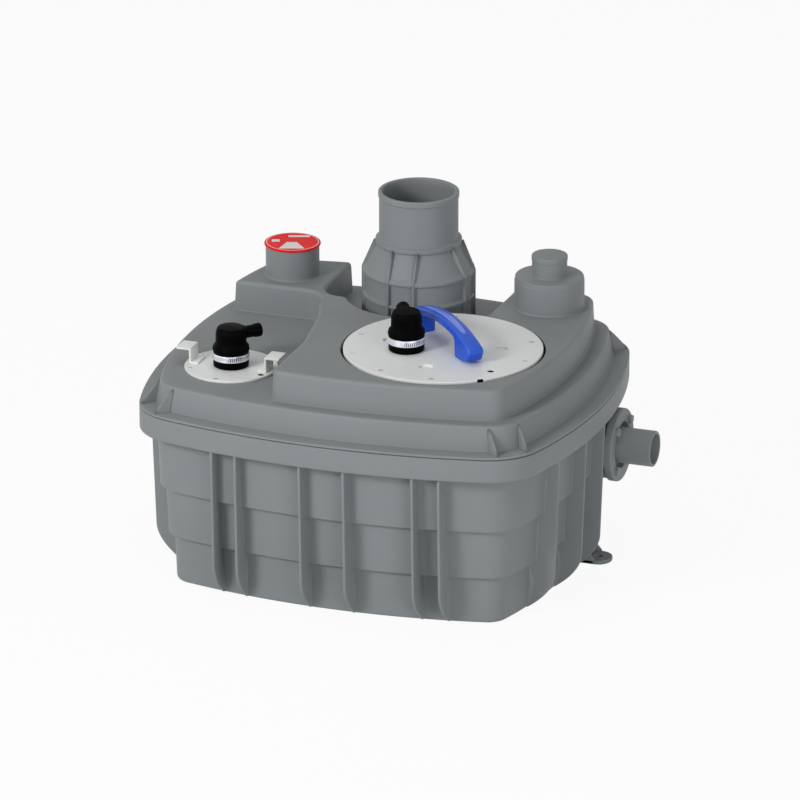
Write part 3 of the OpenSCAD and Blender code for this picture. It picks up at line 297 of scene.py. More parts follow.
@dataclass(frozen=True)
class Bore:
    """Round hole in a slab, in the slab's plan; one without a depth goes through."""

    x: float
    y: float
    radius: float
    depth: float = 0.0
    edge: float = 0.4
    steps: int = 28

    def ring(self, radius: float) -> Array:
        """Loop of the hole at a radius, counter-clockwise."""
        return arc_points(radius, self.steps) + (self.x, self.y)

    def mouth(self) -> Array:
        """Loop where the hole's rounded edge meets the slab's face."""
        return self.ring(self.radius + self.edge + LAND)

    def net(self, top: float, bottom: float) -> Array:
        """Net of the wall from the top face down, then to the middle or out at the bottom."""
        r, e = self.radius, self.edge
        rows = [(r + e + LAND, top, 0), (r, top, e)]
        if self.depth:
            rows += [(r, top - self.depth, 0.3), (AXIS, top - self.depth, 0)]
        else:
            rows += [(r, bottom, e), (r + e + LAND, bottom, 0)]
        profile = turned(rows, 3)
        net = np.empty((len(profile), self.steps, 3))
        net[:, :, :2] = profile[:, None, :1] * arc_points(1.0, self.steps)[None] + (self.x, self.y)
        net[:, :, 2] = profile[:, 1:]
        return net


@dataclass(frozen=True)
class Slab:
    """Flat piece with rounded rims: a plan loop of corners, carried from one height to another.

    The plan's rows are corners with their radii, as turned takes them.
    """

    rows: Array
    bottom: float
    top: float
    rim: float = 1.2
    steps: int = 5
    bores: tuple[Bore, ...] = ()

    def loop(self, inset: float) -> Array:
        """Plan loop moved inwards by an inset."""
        return turned(self.rows, self.steps, True, inset)

    def put(self, skin: Skin) -> None:
        """Adds the slab's rim, holes and two faces to a skin.

        The rim is the loop at inset e and height z, with (e, z) running round two quarter arcs.
        """
        f, low, high = self.rim + LAND, self.bottom, self.top
        rim = turned([(f, low, 0), (0, low, self.rim), (0, high, self.rim), (f, high, 0)], 4)
        loops = [np.column_stack([self.loop(e), np.full(len(self.loop(e)), z)]) for e, z in rim]
        skin.grid(np.stack(loops))
        for bore in self.bores:
            skin.grid(bore.net(high, low))
        through = [b.mouth() for b in self.bores if not b.depth]
        skin.fill(self.loop(f), [b.mouth() for b in self.bores], high)
        skin.fill(self.loop(f), through, low, Facing.DOWN)


def disc(radius: float, steps: int = 96) -> Array:
    """Rows of a round slab."""
    return np.column_stack([arc_points(radius, steps), np.zeros(steps)])


def plug(x: float, y: float, radius: float, bottom: float, top: float, rim: float) -> Skin:
    """Round plug with a rounded rim, whose middle lies 0.4 mm under its edge.

    Args:
        x: its place.
        y: its place.
        radius: its radius.
        bottom: height of its underside.
        top: height of its edge.
        rim: rounding of its edge.

    Returns:
        A skin that holds it.
    """
    skin = Skin().at(placing((x, y, 0)))
    skin.lathe([(AXIS, bottom, 0), (radius, bottom, 0.4), (radius, top, rim), (AXIS, top - 0.4, 0)], 3, 40)
    return skin


@dataclass(frozen=True)
class Rib:
    """Thin moulded plate that stands out of a wall, seen from its side.

    Its outer edge is a curve of (depth, height) points. A point of the net lies on the curve's inner
    normal at a depth d, and half a thickness h(d) to either side, where h widens by the flare over the
    last 2 mm at the root and rounds off over the first 1.5 mm at the edge.
    """

    thickness: float = 4.0
    flare: float = 1.2
    buried: float = 7.0
    least: float = 2.4

    def net(self, edge: Array, root: Array) -> tuple[Array, Array, Array]:
        """Depth, height and side of the rib's points.

        Args:
            edge: outer edge of shape (n, 2), from the top down, depth growing inwards.
            root: depth of the wall under each edge point, along the normal.

        Returns:
            Three arrays of shape (n, 16).
        """
        run = np.gradient(edge, axis=0)
        run /= np.linalg.norm(run, axis=1, keepdims=True)
        normal = np.stack([-run[:, 1], run[:, 0]], axis=1)
        wall = np.maximum(root, self.least)[:, None]
        h, flare = self.thickness / 2, self.flare
        outer = np.broadcast_to([1.5, 0.5, 0.12, 0.0], (len(edge), 4))
        deep = np.concatenate([wall + self.buried, wall, wall - 0.8, wall - 2.0, outer], axis=1)
        half = np.array([h + flare, h + flare, h + flare * 0.42, h + 0.15, h, h * 0.82, h * 0.5, h * 0.18])
        deep = np.concatenate([deep, deep[:, ::-1]], axis=1)
        side = np.broadcast_to(np.concatenate([-half, half[::-1]]), deep.shape)
        return edge[:, :1] + deep * normal[:, :1], edge[:, 1:] + deep * normal[:, 1:], side

    def put(self, skin: Skin, points: Array) -> None:
        """Adds a rib from its points, as a net closed through its root and capped at both ends."""
        skin.grid(points, flip=True)
        skin.fan(points[0])
        skin.fan(points[-1], flip=True)


# plan of the tank


@dataclass(frozen=True)
class Plan:
    """Bowed, round-cornered plan shared by the tank and the lid.

    Each point is c + (R - e) d: the centre and radius of its arc, its direction and the inset e, so
    that rings at all insets stay parallel.
    """

    half_w: float = 315.0
    half_d: float = 282.5
    front_bow: float = 985.0
    side_bow: float = 720.0
    corner: float = 80.0
    steps: tuple[int, int, int] = (14, 18, 10)

    def centres(self) -> tuple[Array, Array, Array]:
        """Centres of the front, corner and side arcs of the front right quarter.

        The corner's circle touches both bows, so it is as far from each centre as their radii differ.
        """
        front = np.array([0.0, self.front_bow - self.half_d])
        side = np.array([self.half_w - self.side_bow, 0.0])
        gap = np.linalg.norm(side - front)
        a, b = self.front_bow - self.corner, self.side_bow - self.corner
        on = (a * a - b * b + gap * gap) / (2 * gap)
        across = math.sqrt(a * a - on * on)
        way = (side - front) / gap
        return front, front + on * way + across * np.array([-way[1], way[0]]), side

    def anchors(self) -> tuple[Array, Array, Array]:
        """Centre, radius and direction of each point of the whole loop, counter-clockwise from the front."""
        front, corner, side = self.centres()
        a = math.atan2(*(corner - front)[::-1])
        b = math.atan2(*(corner - side)[::-1])
        ends = (-math.pi / 2, a, b, 0.0)
        arcs = [np.linspace(s, e, n + 1)[:-1] for s, e, n in zip(ends, ends[1:], self.steps)]
        angle = np.concatenate([*arcs, [0.0]])
        sizes = np.array(self.steps) + (0, 0, 1)
        centre = np.repeat([front, corner, side], sizes, axis=0)
        radius = np.repeat([self.front_bow, self.corner, self.side_bow], sizes)
        way = np.stack([np.cos(angle), np.sin(angle)], axis=1)
        for flip, last in (((1, -1), None), ((-1, 1), -1)):
            centre = np.concatenate([centre, (centre * flip)[::-1][1:last]])
            way = np.concatenate([way, (way * flip)[::-1][1:last]])
            radius = np.concatenate([radius, radius[::-1][1:last]])
        return centre, radius, way

    def ring(self, inset: float) -> Array:
        """Loop at an inset, of shape (168, 2)."""
        centre, radius, way = self.anchors()
        return centre + (radius - inset)[:, None] * way

    def carried(self, profile: Array) -> Array:
        """Net of a profile of (inset, height) points carried round the plan."""
        centre, radius, way = self.anchors()
        net = np.empty((len(profile), len(radius), 3))
        net[:, :, :2] = centre[None] + (radius[None] - profile[:, :1])[:, :, None] * way[None]
        net[:, :, 2] = profile[:, 1:]
        return net

    def front_y(self, x: Array | float, inset: Array | float = 0.0) -> Array:
        """Y of the front bow at x: c - sqrt((R - e)^2 - x^2)."""
        return self.front_bow - self.half_d - np.sqrt((self.front_bow - inset) ** 2 - np.square(x))

    def side_x(self, y: Array | float, inset: Array | float = 0.0) -> Array:
        """X of the right bow at y: c + sqrt((R - e)^2 - y^2)."""
        return self.half_w - self.side_bow + np.sqrt((self.side_bow - inset) ** 2 - np.square(y))


# shader groups

Socket = bpy.types.NodeSocket
Colour = tuple[float, float, float, float]
FLOAT, VECTOR, COLOUR = "NodeSocketFloat", "NodeSocketVector", "NodeSocketColor"


class Nodes:
    """Short hand for placing and joining shader nodes in a tree."""

    def __init__(self, tree: bpy.types.NodeTree) -> None:
        """Takes the tree that the nodes go into."""
        self.tree = tree

    def feed(self, value: object, target: Socket) -> None:
        """Gives an input another node's output to read, or a plain value."""
        if isinstance(value, Socket):
            self.tree.links.new(value, target)
        else:
            target.default_value = value

    def add(self, kind: str, **values: object) -> bpy.types.Node:
        """Adds a node; values whose key starts with in_ feed the input of that number."""
        node = self.tree.nodes.new(kind)
        for key, value in values.items():
            if key.startswith("in_"):
                self.feed(value, node.inputs[int(key[3:])])
            else:
                setattr(node, key, value)
        return node

    def group(self, tree: bpy.types.NodeTree, *values: object) -> bpy.types.Node:
        """Adds a group node and feeds its inputs in order."""
        node = self.add("ShaderNodeGroup", node_tree=tree)
        for value, target in zip(values, node.inputs):
            self.feed(value, target)
        return node

    def place(self) -> Socket:
        """Adds the object's own coordinates."""
        return self.add("ShaderNodeTexCoord").outputs["Object"]

    def math(self, operation: str, a: object, b: object = 0.0, clamp: bool = False) -> Socket:
        """Adds a Math node whose inputs are sockets or numbers, and returns its output."""
        return self.add("ShaderNodeMath", operation=operation, use_clamp=clamp, in_0=a, in_1=b).outputs[0]

    def mix(self, factor: Socket, a: object, b: object) -> Socket:
        """Adds a colour mix of a and b, each a socket or a colour, and returns its output."""
        return self.add("ShaderNodeMix", data_type="RGBA", in_0=factor, in_6=a, in_7=b).outputs[2]

    def noise(self, coords: Socket, scale: object, detail: float, rough: float = 0.55) -> Socket:
        """Adds a noise texture on given coordinates and returns its value."""
        node = self.add("ShaderNodeTexNoise")
        for label, value in (("Vector", coords), ("Scale", scale), ("Detail", detail), ("Roughness", rough)):
            self.feed(value, node.inputs[label])
        return node.outputs["Fac"]


def new_group(name: str, inputs: dict[str, object], *outputs: str) -> tuple[Nodes, object, object]:
    """Starts a shader group with named sockets.

    Args:
        name: group name.
        inputs: name and default of each input: a number, a vector or a colour.
        outputs: names of the outputs, which are numbers, but one named Color is a colour.

    Returns:
        The group's nodes, the sockets it reads and the sockets it fills.
    """
    tree = bpy.data.node_groups.new(name, "ShaderNodeTree")
    kinds = {1: FLOAT, 3: VECTOR, 4: COLOUR}
    for label, value in inputs.items():
        kind = kinds[np.size(value)]
        tree.interface.new_socket(label, in_out="INPUT", socket_type=kind).default_value = value
    for label in outputs:
        kind = COLOUR if label == "Color" else FLOAT
        tree.interface.new_socket(label, in_out="OUTPUT", socket_type=kind)
    nodes = Nodes(tree)
    return nodes, nodes.add("NodeGroupInput").outputs, nodes.add("NodeGroupOutput").inputs


class Effects:
    """The shader groups that the finishes share, built once."""

    def __init__(self) -> None:
        """Builds every group."""
        self.mottle = self.make_mottle()
        self.grain = self.make_grain()
        self.gloss = self.make_gloss()
        self.wear_and_highlight = self.make_wear_and_highlight()
        self.up_tint = self.make_up_tint()
        self.drawn = self.make_drawn()

    @staticmethod
    def make_mottle() -> bpy.types.NodeTree:
        """Colour times 1 + cloud (n1 - 1/2) + speck (n2 - 1/2), with n1 a broad and n2 a fine noise."""
        amounts = {"Cloud": 0.1, "Speck": 0.05, "Cloud Scale": 9.0, "Speck Scale": 900.0}
        n, src, out = new_group("mottle", {"Color": (0.5, 0.5, 0.5, 1), **amounts}, "Color")
        place = n.place()
        broad = n.math("SUBTRACT", n.noise(place, src["Cloud Scale"], 4.0), 0.5)
        fine = n.math("SUBTRACT", n.noise(place, src["Speck Scale"], 2.0), 0.5)
        cloud, speck = n.math("MULTIPLY", broad, src["Cloud"]), n.math("MULTIPLY", fine, src["Speck"])
        share = n.math("ADD", n.math("ADD", cloud, speck), 1.0)
        tone = n.add("ShaderNodeCombineXYZ", in_0=share, in_1=share, in_2=share)
        mix = n.add("ShaderNodeMix", data_type="RGBA", blend_type="MULTIPLY", in_0=1.0, in_6=src["Color"])
        n.feed(tone.outputs[0], mix.inputs[7])
        n.feed(mix.outputs[2], out[0])
        return n.tree

    @staticmethod
    def make_grain() -> bpy.types.NodeTree:
        """Height of a moulded skin: fine pits from Voronoi cells, with a soft orange-peel noise."""
        inputs = {"Pit Scale": 700.0, "Peel Scale": 120.0, "Pits": 0.5}
        n, src, out = new_group("moulded_grain", inputs, "Height")
        place = n.place()
        cells = n.add("ShaderNodeTexVoronoi", feature="SMOOTH_F1")
        n.feed(place, cells.inputs["Vector"])
        n.feed(src["Pit Scale"], cells.inputs["Scale"])
        pits = n.math("MULTIPLY", cells.outputs["Distance"], src["Pits"])
        n.feed(n.math("ADD", pits, n.noise(place, src["Peel Scale"], 3.0)), out[0])
        return n.tree

    @staticmethod
    def make_gloss() -> bpy.types.NodeTree:
        """Roughness that wanders between two values with a broad noise and fine smears."""
        n, src, out = new_group("patchy_gloss", {"Low": 0.4, "High": 0.6, "Scale": 14.0}, "Roughness")
        smear = n.noise(n.place(), src["Scale"], 6.0, 0.65)
        ramp = n.add("ShaderNodeMapRange", in_0=smear, in_1=0.3, in_2=0.7, in_3=src["Low"], in_4=src["High"])
        n.feed(ramp.outputs[0], out[0])
        return n.tree

    @staticmethod
    def make_wear_and_highlight() -> bpy.types.NodeTree:
        """Masks of rubbed outer edges, which also stand for a painted highlight, and of painted shade in
        creases.

        They lie where the surface bulges or folds in, broken up by a noise.
        """
        inputs = {"Start": 0.53, "End": 0.6, "Break Up": 60.0}
        n, src, out = new_group("edge_wear_highlight_and_shade", inputs, "Mask", "Crease Shade")
        point = n.add("ShaderNodeNewGeometry").outputs["Pointiness"]
        patches = n.math("ADD", n.noise(n.place(), src["Break Up"], 3.0), 0.35, clamp=True)
        edge = n.add("ShaderNodeMapRange", in_0=point, in_1=src["Start"], in_2=src["End"])
        shade_ramp = n.add("ShaderNodeMapRange", in_0=point, in_1=0.475, in_2=0.42)
        for i, ramp in enumerate((edge, shade_ramp)):
            n.feed(n.math("MULTIPLY", ramp.outputs[0], patches, clamp=True), out[i])
        return n.tree

    @staticmethod
    def make_up_tint() -> bpy.types.NodeTree:
        """Mask of a tint on faces that look up: the normal's Z to a power, times a noise."""
        n, src, out = new_group("upward_tint", {"Amount": 0.2, "Scale": 22.0}, "Mask")
        look = n.add("ShaderNodeNewGeometry").outputs["Normal"]
        rise = n.add("ShaderNodeSeparateXYZ", in_0=look).outputs[2]
        flat = n.math("POWER", n.math("MAXIMUM", rise, 0.0), 6.0)
        cloud = n.math("MULTIPLY", flat, n.noise(n.place(), src["Scale"], 8.0, 0.6))
        n.feed(n.math("MULTIPLY", cloud, src["Amount"], clamp=True), out[0])
        return n.tree

    @staticmethod
    def make_drawn() -> bpy.types.NodeTree:
        """Height of drawn metal: noise stretched by its own scale on each axis."""
        n, src, out = new_group("drawn_lines", {"Stretch": (40.0, 40.0, 900.0), "Depth": 1.0}, "Height")
        scaled = n.add("ShaderNodeVectorMath", operation="MULTIPLY", in_0=n.place(), in_1=src["Stretch"])
        lines = n.noise(scaled.outputs[0], 1.0, 5.0, 0.6)
        n.feed(n.math("MULTIPLY", lines, src["Depth"]), out[0])
        return n.tree


def shade(red: int, green: int, blue: int) -> Colour:
    """Linear colour of a display colour given in 0 to 255."""
    c = np.array([red, green, blue]) / 255
    linear = np.where(c <= 0.04045, c / 12.92, ((c + 0.055) / 1.055) ** 2.4)
    return (*linear.tolist(), 1.0)


@dataclass(frozen=True)
class Finish:
    """One material: its colour, how it wanders, its gloss, its grain, its rubbed edges with a painted
    highlight, painted shade in its creases and a tint on faces that look up.
    """

    name: str
    colour: Colour
    wear_and_highlight_colour: Colour
    cloud: float = 0.1
    speck: float = 0.06
    cloud_scale: float = 9.0
    speck_scale: float = 900.0
    low: float = 0.42
    high: float = 0.58
    metal: float = 0.0
    coat: float = 0.0
    coat_rough: float = 0.25
    sheen: float = 0.5
    pits: float = 0.5
    pit_scale: float = 700.0
    peel_scale: float = 120.0
    bump: float = 0.12
    bump_height: float = 0.0006
    # Rubbed edges: wear, which also carries a painted highlight on convex edges.
    wear_and_highlight: float = 0.5
    # Painted shade in concave creases, towards a dark grey.
    shade_in_creases: float = 0.0
    shade_in_creases_colour: Colour = shade(52, 55, 56)
    # Tint on faces that look up: lighter on the tank, darker and warmer on the lid and the plate.
    up_tint: float = 0.0
    up_tint_colour: Colour = (0.42, 0.41, 0.38, 1.0)
    drawn: tuple[float, float, float] | None = None

    def build(self, fx: Effects) -> bpy.types.Material:
        """Makes the material from the shared groups and its own shader."""
        mat = bpy.data.materials.new(self.name)
        mat.use_nodes = True
        mat.diffuse_color = self.colour
        n = Nodes(mat.node_tree)
        shader = next(x for x in n.tree.nodes if x.type == "BSDF_PRINCIPLED")
        mottle = n.group(fx.mottle, self.colour, self.cloud, self.speck, self.cloud_scale, self.speck_scale)
        colour = self.pattern(n, mottle.outputs[0])
        # Convex edges lighten as wear and a painted highlight; creases darken as painted shade.
        if self.wear_and_highlight:
            wear_and_highlight = n.group(fx.wear_and_highlight)
            colour = n.mix(n.math("MULTIPLY", wear_and_highlight.outputs[0], self.wear_and_highlight), colour, self.wear_and_highlight_colour)
            colour = n.mix(n.math("MULTIPLY", wear_and_highlight.outputs[1], self.shade_in_creases), colour, self.shade_in_creases_colour)
        # Faces that look up take the tint.
        if self.up_tint:
            colour = n.mix(n.group(fx.up_tint, self.up_tint).outputs[0], colour, self.up_tint_colour)
        height = n.group(fx.grain, self.pit_scale, self.peel_scale, self.pits).outputs[0]
        if self.drawn:
            height = n.math("ADD", height, n.group(fx.drawn, self.drawn).outputs[0])
        bump = n.add("ShaderNodeBump")
        n.feed(self.bump, bump.inputs["Strength"])
        n.feed(self.bump_height, bump.inputs["Distance"])
        n.feed(self.relief(n, height), bump.inputs["Height"])
        values = {
            "Base Color": colour,
            "Roughness": n.group(fx.gloss, self.low, self.high).outputs[0],
            "Normal": bump.outputs[0],
            "Metallic": self.metal,
            "Coat Weight": self.coat,
            "Coat Roughness": self.coat_rough,
            "Specular IOR Level": self.sheen,
        }
        for label, value in values.items():
            n.feed(value, shader.inputs[label])
        return mat

    def pattern(self, n: Nodes, colour: Socket) -> Socket:
        """Lays the finish's own pattern over its colour; a plain finish has none."""
        return colour

    def relief(self, n: Nodes, height: Socket) -> Socket:
        """Adds the finish's own relief to its grain; a plain finish has none."""
        return height


@dataclass(frozen=True)
class CapFinish(Finish):
    """Red cap with a plain white design: a thin ring, a wedge, a square and a bar.

    Each piece is (a, b, c, d, h), in metres.
    """

    centre: tuple[float, float] = (-0.192, 0.1475)
    top: float = 0.3825
    turn: float = 19.6
    white: Colour = (0.86, 0.84, 0.82, 1.0)
    ring_r: float = 0.0362
    ring_w: float = 0.0005
    wedge: tuple[float, ...] = (-0.001, 0.0125, 0.42, -0.0155, 0.0135)
    square: tuple[float, ...] = (-0.0235, 0.0055, 0.0, 0.0045, 0.005)
    bar: tuple[float, ...] = (0.009, 0.015, -0.1, 0.0225, 0.0036)

    def pattern(self, n: Nodes, colour: Socket) -> Socket:
        """White in the ring and the pieces, on the top only.

        The ring is | r - r0 | < w, and a piece is | x - a | < b - c (y - d), | y - d | < h. Mapping
        centres the place on the cap and turns it, so that x runs across the design.
        """
        place = n.add("ShaderNodeMapping", vector_type="TEXTURE", in_0=n.place())
        place.inputs["Location"].default_value = (*self.centre, 0)
        place.inputs["Rotation"].default_value = (0, 0, math.radians(self.turn))
        x, y, z = n.add("ShaderNodeSeparateXYZ", in_0=place.outputs[0]).outputs
        r = n.math("SQRT", n.math("ADD", n.math("MULTIPLY", x, x), n.math("MULTIPLY", y, y)))
        total = n.math("LESS_THAN", n.math("ABSOLUTE", n.math("SUBTRACT", r, self.ring_r)), self.ring_w)
        for a, b, c, d, h in (self.wedge, self.square, self.bar):
            off = n.math("SUBTRACT", y, d)
            reach = n.math("SUBTRACT", b, n.math("MULTIPLY", off, c))
            wide = n.math("LESS_THAN", n.math("ABSOLUTE", n.math("SUBTRACT", x, a)), reach)
            high = n.math("LESS_THAN", n.math("ABSOLUTE", off), h)
            total = n.math("MAXIMUM", total, n.math("MULTIPLY", wide, high))
        upper = n.math("GREATER_THAN", z, self.top)
        return n.mix(n.math("MULTIPLY", total, upper), colour, self.white)


@dataclass(frozen=True)
class BandFinish(Finish):
    """Bright clamp band with a run of slanted worm slots."""

    centre: tuple[float, float] = (0.0, 0.0)
    height: float = 0.0
    start: float = -1.35
    end: float = 0.1
    per_radian: float = 9.0
    lean: float = 60.0
    web: float = 0.52
    half_w: float = 0.0031
    depth: float = 2.0
    slot_colour: Colour = (0.16, 0.16, 0.18, 1.0)

    def slots(self, n: Nodes) -> Socket:
        """Mask of the slots.

        It is a saw of the angle about the band's axis, leaning with height, inside a window.
        """
        middle = (*self.centre, self.height)
        there = n.add("ShaderNodeSeparateXYZ", in_0=n.place()).outputs
        x, y, z = (n.math("SUBTRACT", value, zero) for value, zero in zip(there, middle))
        angle = n.math("ARCTAN2", y, x)
        turns = n.math("ADD", n.math("MULTIPLY", angle, self.per_radian), n.math("MULTIPLY", z, self.lean))
        saw = n.math("GREATER_THAN", n.math("FRACT", turns), self.web)
        slot = n.math("MULTIPLY", saw, n.math("LESS_THAN", n.math("ABSOLUTE", z), self.half_w))
        after, before = n.math("GREATER_THAN", angle, self.start), n.math("LESS_THAN", angle, self.end)
        return n.math("MULTIPLY", slot, n.math("MULTIPLY", after, before))

    def pattern(self, n: Nodes, colour: Socket) -> Socket:
        """Darkens the slots."""
        return n.mix(self.slots(n), colour, self.slot_colour)

    def relief(self, n: Nodes, height: Socket) -> Socket:
        """Sinks the slots."""
        return n.math("SUBTRACT", height, n.math("MULTIPLY", self.slots(n), self.depth))


class Paint:
    """All finishes by name, built on first use."""

    def __init__(self) -> None:
        """Sets the finishes."""
        self.fx = Effects()
        self.made: dict[str, bpy.types.Material] = {}
        self.finishes = {f.name: f for f in (*self.mouldings(), *self.metals(), *self.bands())}

    @staticmethod
    def mouldings() -> tuple[Finish, ...]:
        """Finishes of plastic and rubber."""
        grey = shade(134, 139, 141)
        # The creases of the greys darken as painted shade, and edges lighten as wear with a painted
        # highlight.
        return (
            Finish(
                "tank_grey", grey, shade(160, 164, 165), cloud=0.08, speck=0.1, low=0.5, high=0.64,
                sheen=0.35, pits=0.7, bump=0.2, wear_and_highlight=0.55, shade_in_creases=0.7, up_tint=0.08,
            ),
            Finish(
                "lid_grey", grey, shade(158, 162, 163), cloud=0.09, speck=0.1, cloud_scale=7.0, low=0.5,
                high=0.64, sheen=0.3, pits=0.7, bump=0.18, shade_in_creases=0.7, up_tint=0.22,
                up_tint_colour=shade(118, 119, 113),
            ),
            Finish(
                "plate_white", shade(235, 237, 235), shade(240, 241, 239), cloud=0.05, low=0.38, high=0.52,
                pit_scale=1200.0, bump=0.08, up_tint=0.06, up_tint_colour=shade(196, 195, 188),
            ),
            Finish(
                "grip_white", shade(232, 234, 230), shade(244, 245, 242), cloud=0.05, speck=0.05, low=0.34,
                high=0.48, pit_scale=1200.0, bump=0.07, wear_and_highlight=0.4,
            ),
            Finish(
                "rubber_black", shade(2, 2, 3), shade(8, 8, 8), cloud=0.2, speck=0.25, low=0.46, high=0.6,
                sheen=0.03, pits=0.6, pit_scale=1500.0, wear_and_highlight=0.35,
            ),
            Finish(
                "handle_blue", shade(26, 84, 206), shade(76, 124, 230), low=0.28, high=0.42, coat=0.12,
                sheen=0.3, pit_scale=1400.0, peel_scale=260.0, bump=0.07, wear_and_highlight=0.7,
            ),
            # Lighter copy of the handle's blue: a painted highlight along the ridge.
            Finish(
                "ridge_highlight_blue", shade(96, 126, 230), shade(150, 172, 244), cloud=0.12, low=0.22, high=0.34,
                coat=0.3, pit_scale=1400.0, bump=0.05,
            ),
            CapFinish(
                "cap_red", shade(240, 8, 16), shade(244, 70, 66), cloud=0.06, speck=0.05, low=0.4, high=0.52,
                sheen=0.14, pit_scale=1600.0, bump=0.05, wear_and_highlight=0.3,
            ),
            Finish(
                "sensor_grey", shade(92, 98, 104), shade(130, 134, 138), speck=0.08, low=0.36, high=0.5,
                bump=0.1,
            ),
        )

    @staticmethod
    def metals() -> tuple[Finish, ...]:
        """Finishes of steel, iron and copper."""
        # Edges lighten as wear with a painted highlight.
        return (
            Finish(
                "steel", shade(196, 199, 204), shade(226, 228, 232), cloud=0.12, speck=0.12, low=0.22,
                high=0.42, metal=1.0, bump=0.08, wear_and_highlight=0.6, drawn=(60, 60, 900),
            ),
            Finish(
                "screw_steel", shade(176, 179, 182), shade(214, 216, 218), cloud=0.15, speck=0.15, low=0.28,
                high=0.46, metal=0.9, bump=0.08, wear_and_highlight=0.6,
            ),
            Finish(
                "cast_iron", shade(84, 90, 96), shade(124, 130, 134), cloud=0.25, speck=0.3,
                speck_scale=500.0, low=0.5, high=0.75, coat=0.1, pits=1.2, pit_scale=420.0, bump=0.5,
                wear_and_highlight=0.7,
            ),
            Finish(
                "copper_wire", shade(186, 108, 60), shade(224, 150, 100), cloud=0.25, speck=0.2, low=0.26,
                high=0.44, metal=0.9, bump=0.4, drawn=(900, 900, 60),
            ),
        )

    @staticmethod
    def bands() -> tuple[Finish, ...]:
        """Finishes of the two clamp bands, each about its own axis."""
        places = (("motor_band", (0.0625, -0.0935), 0.3535), ("sensor_band", (-0.18, -0.1275), 0.3125))
        return tuple(
            BandFinish(
                name, shade(236, 239, 248), shade(246, 247, 250), speck=0.08, low=0.2, high=0.34, metal=0.75,
                bump=0.2, wear_and_highlight=0.4, centre=centre, height=height,
            )
            for name, centre, height in places
        )

    def get(self, name: str) -> bpy.types.Material:
        """The material of a finish."""
        if name not in self.made:
            self.made[name] = self.finishes[name].build(self.fx)
        return self.made[name]


def finished(
    name: str,
    skin: Skin,
    finish: str,
    paint: Paint,
    nodes: Sequence[str] = (),
    body: str = STATION,
) -> bpy.types.Object:
    """Turns a skin into a piece of the model.

    Args:
        name: object name.
        skin: its surface.
        finish: name of its finish.
        paint: the finishes.
        nodes: CAD nodes it stands for.
        body: CAD body it moves with.

    Returns:
        The new object.
    """
    obj = bpy.data.objects.new(name, skin.mesh(name))
    bpy.context.scene.collection.objects.link(obj)
    obj.data.materials.append(paint.get(finish))
    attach(obj, body)
    if nodes:
        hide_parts(*nodes)
    LOG.info("%s: %d faces, %s", name, len(obj.data.polygons), finish)
    return obj


# sub-assemblies


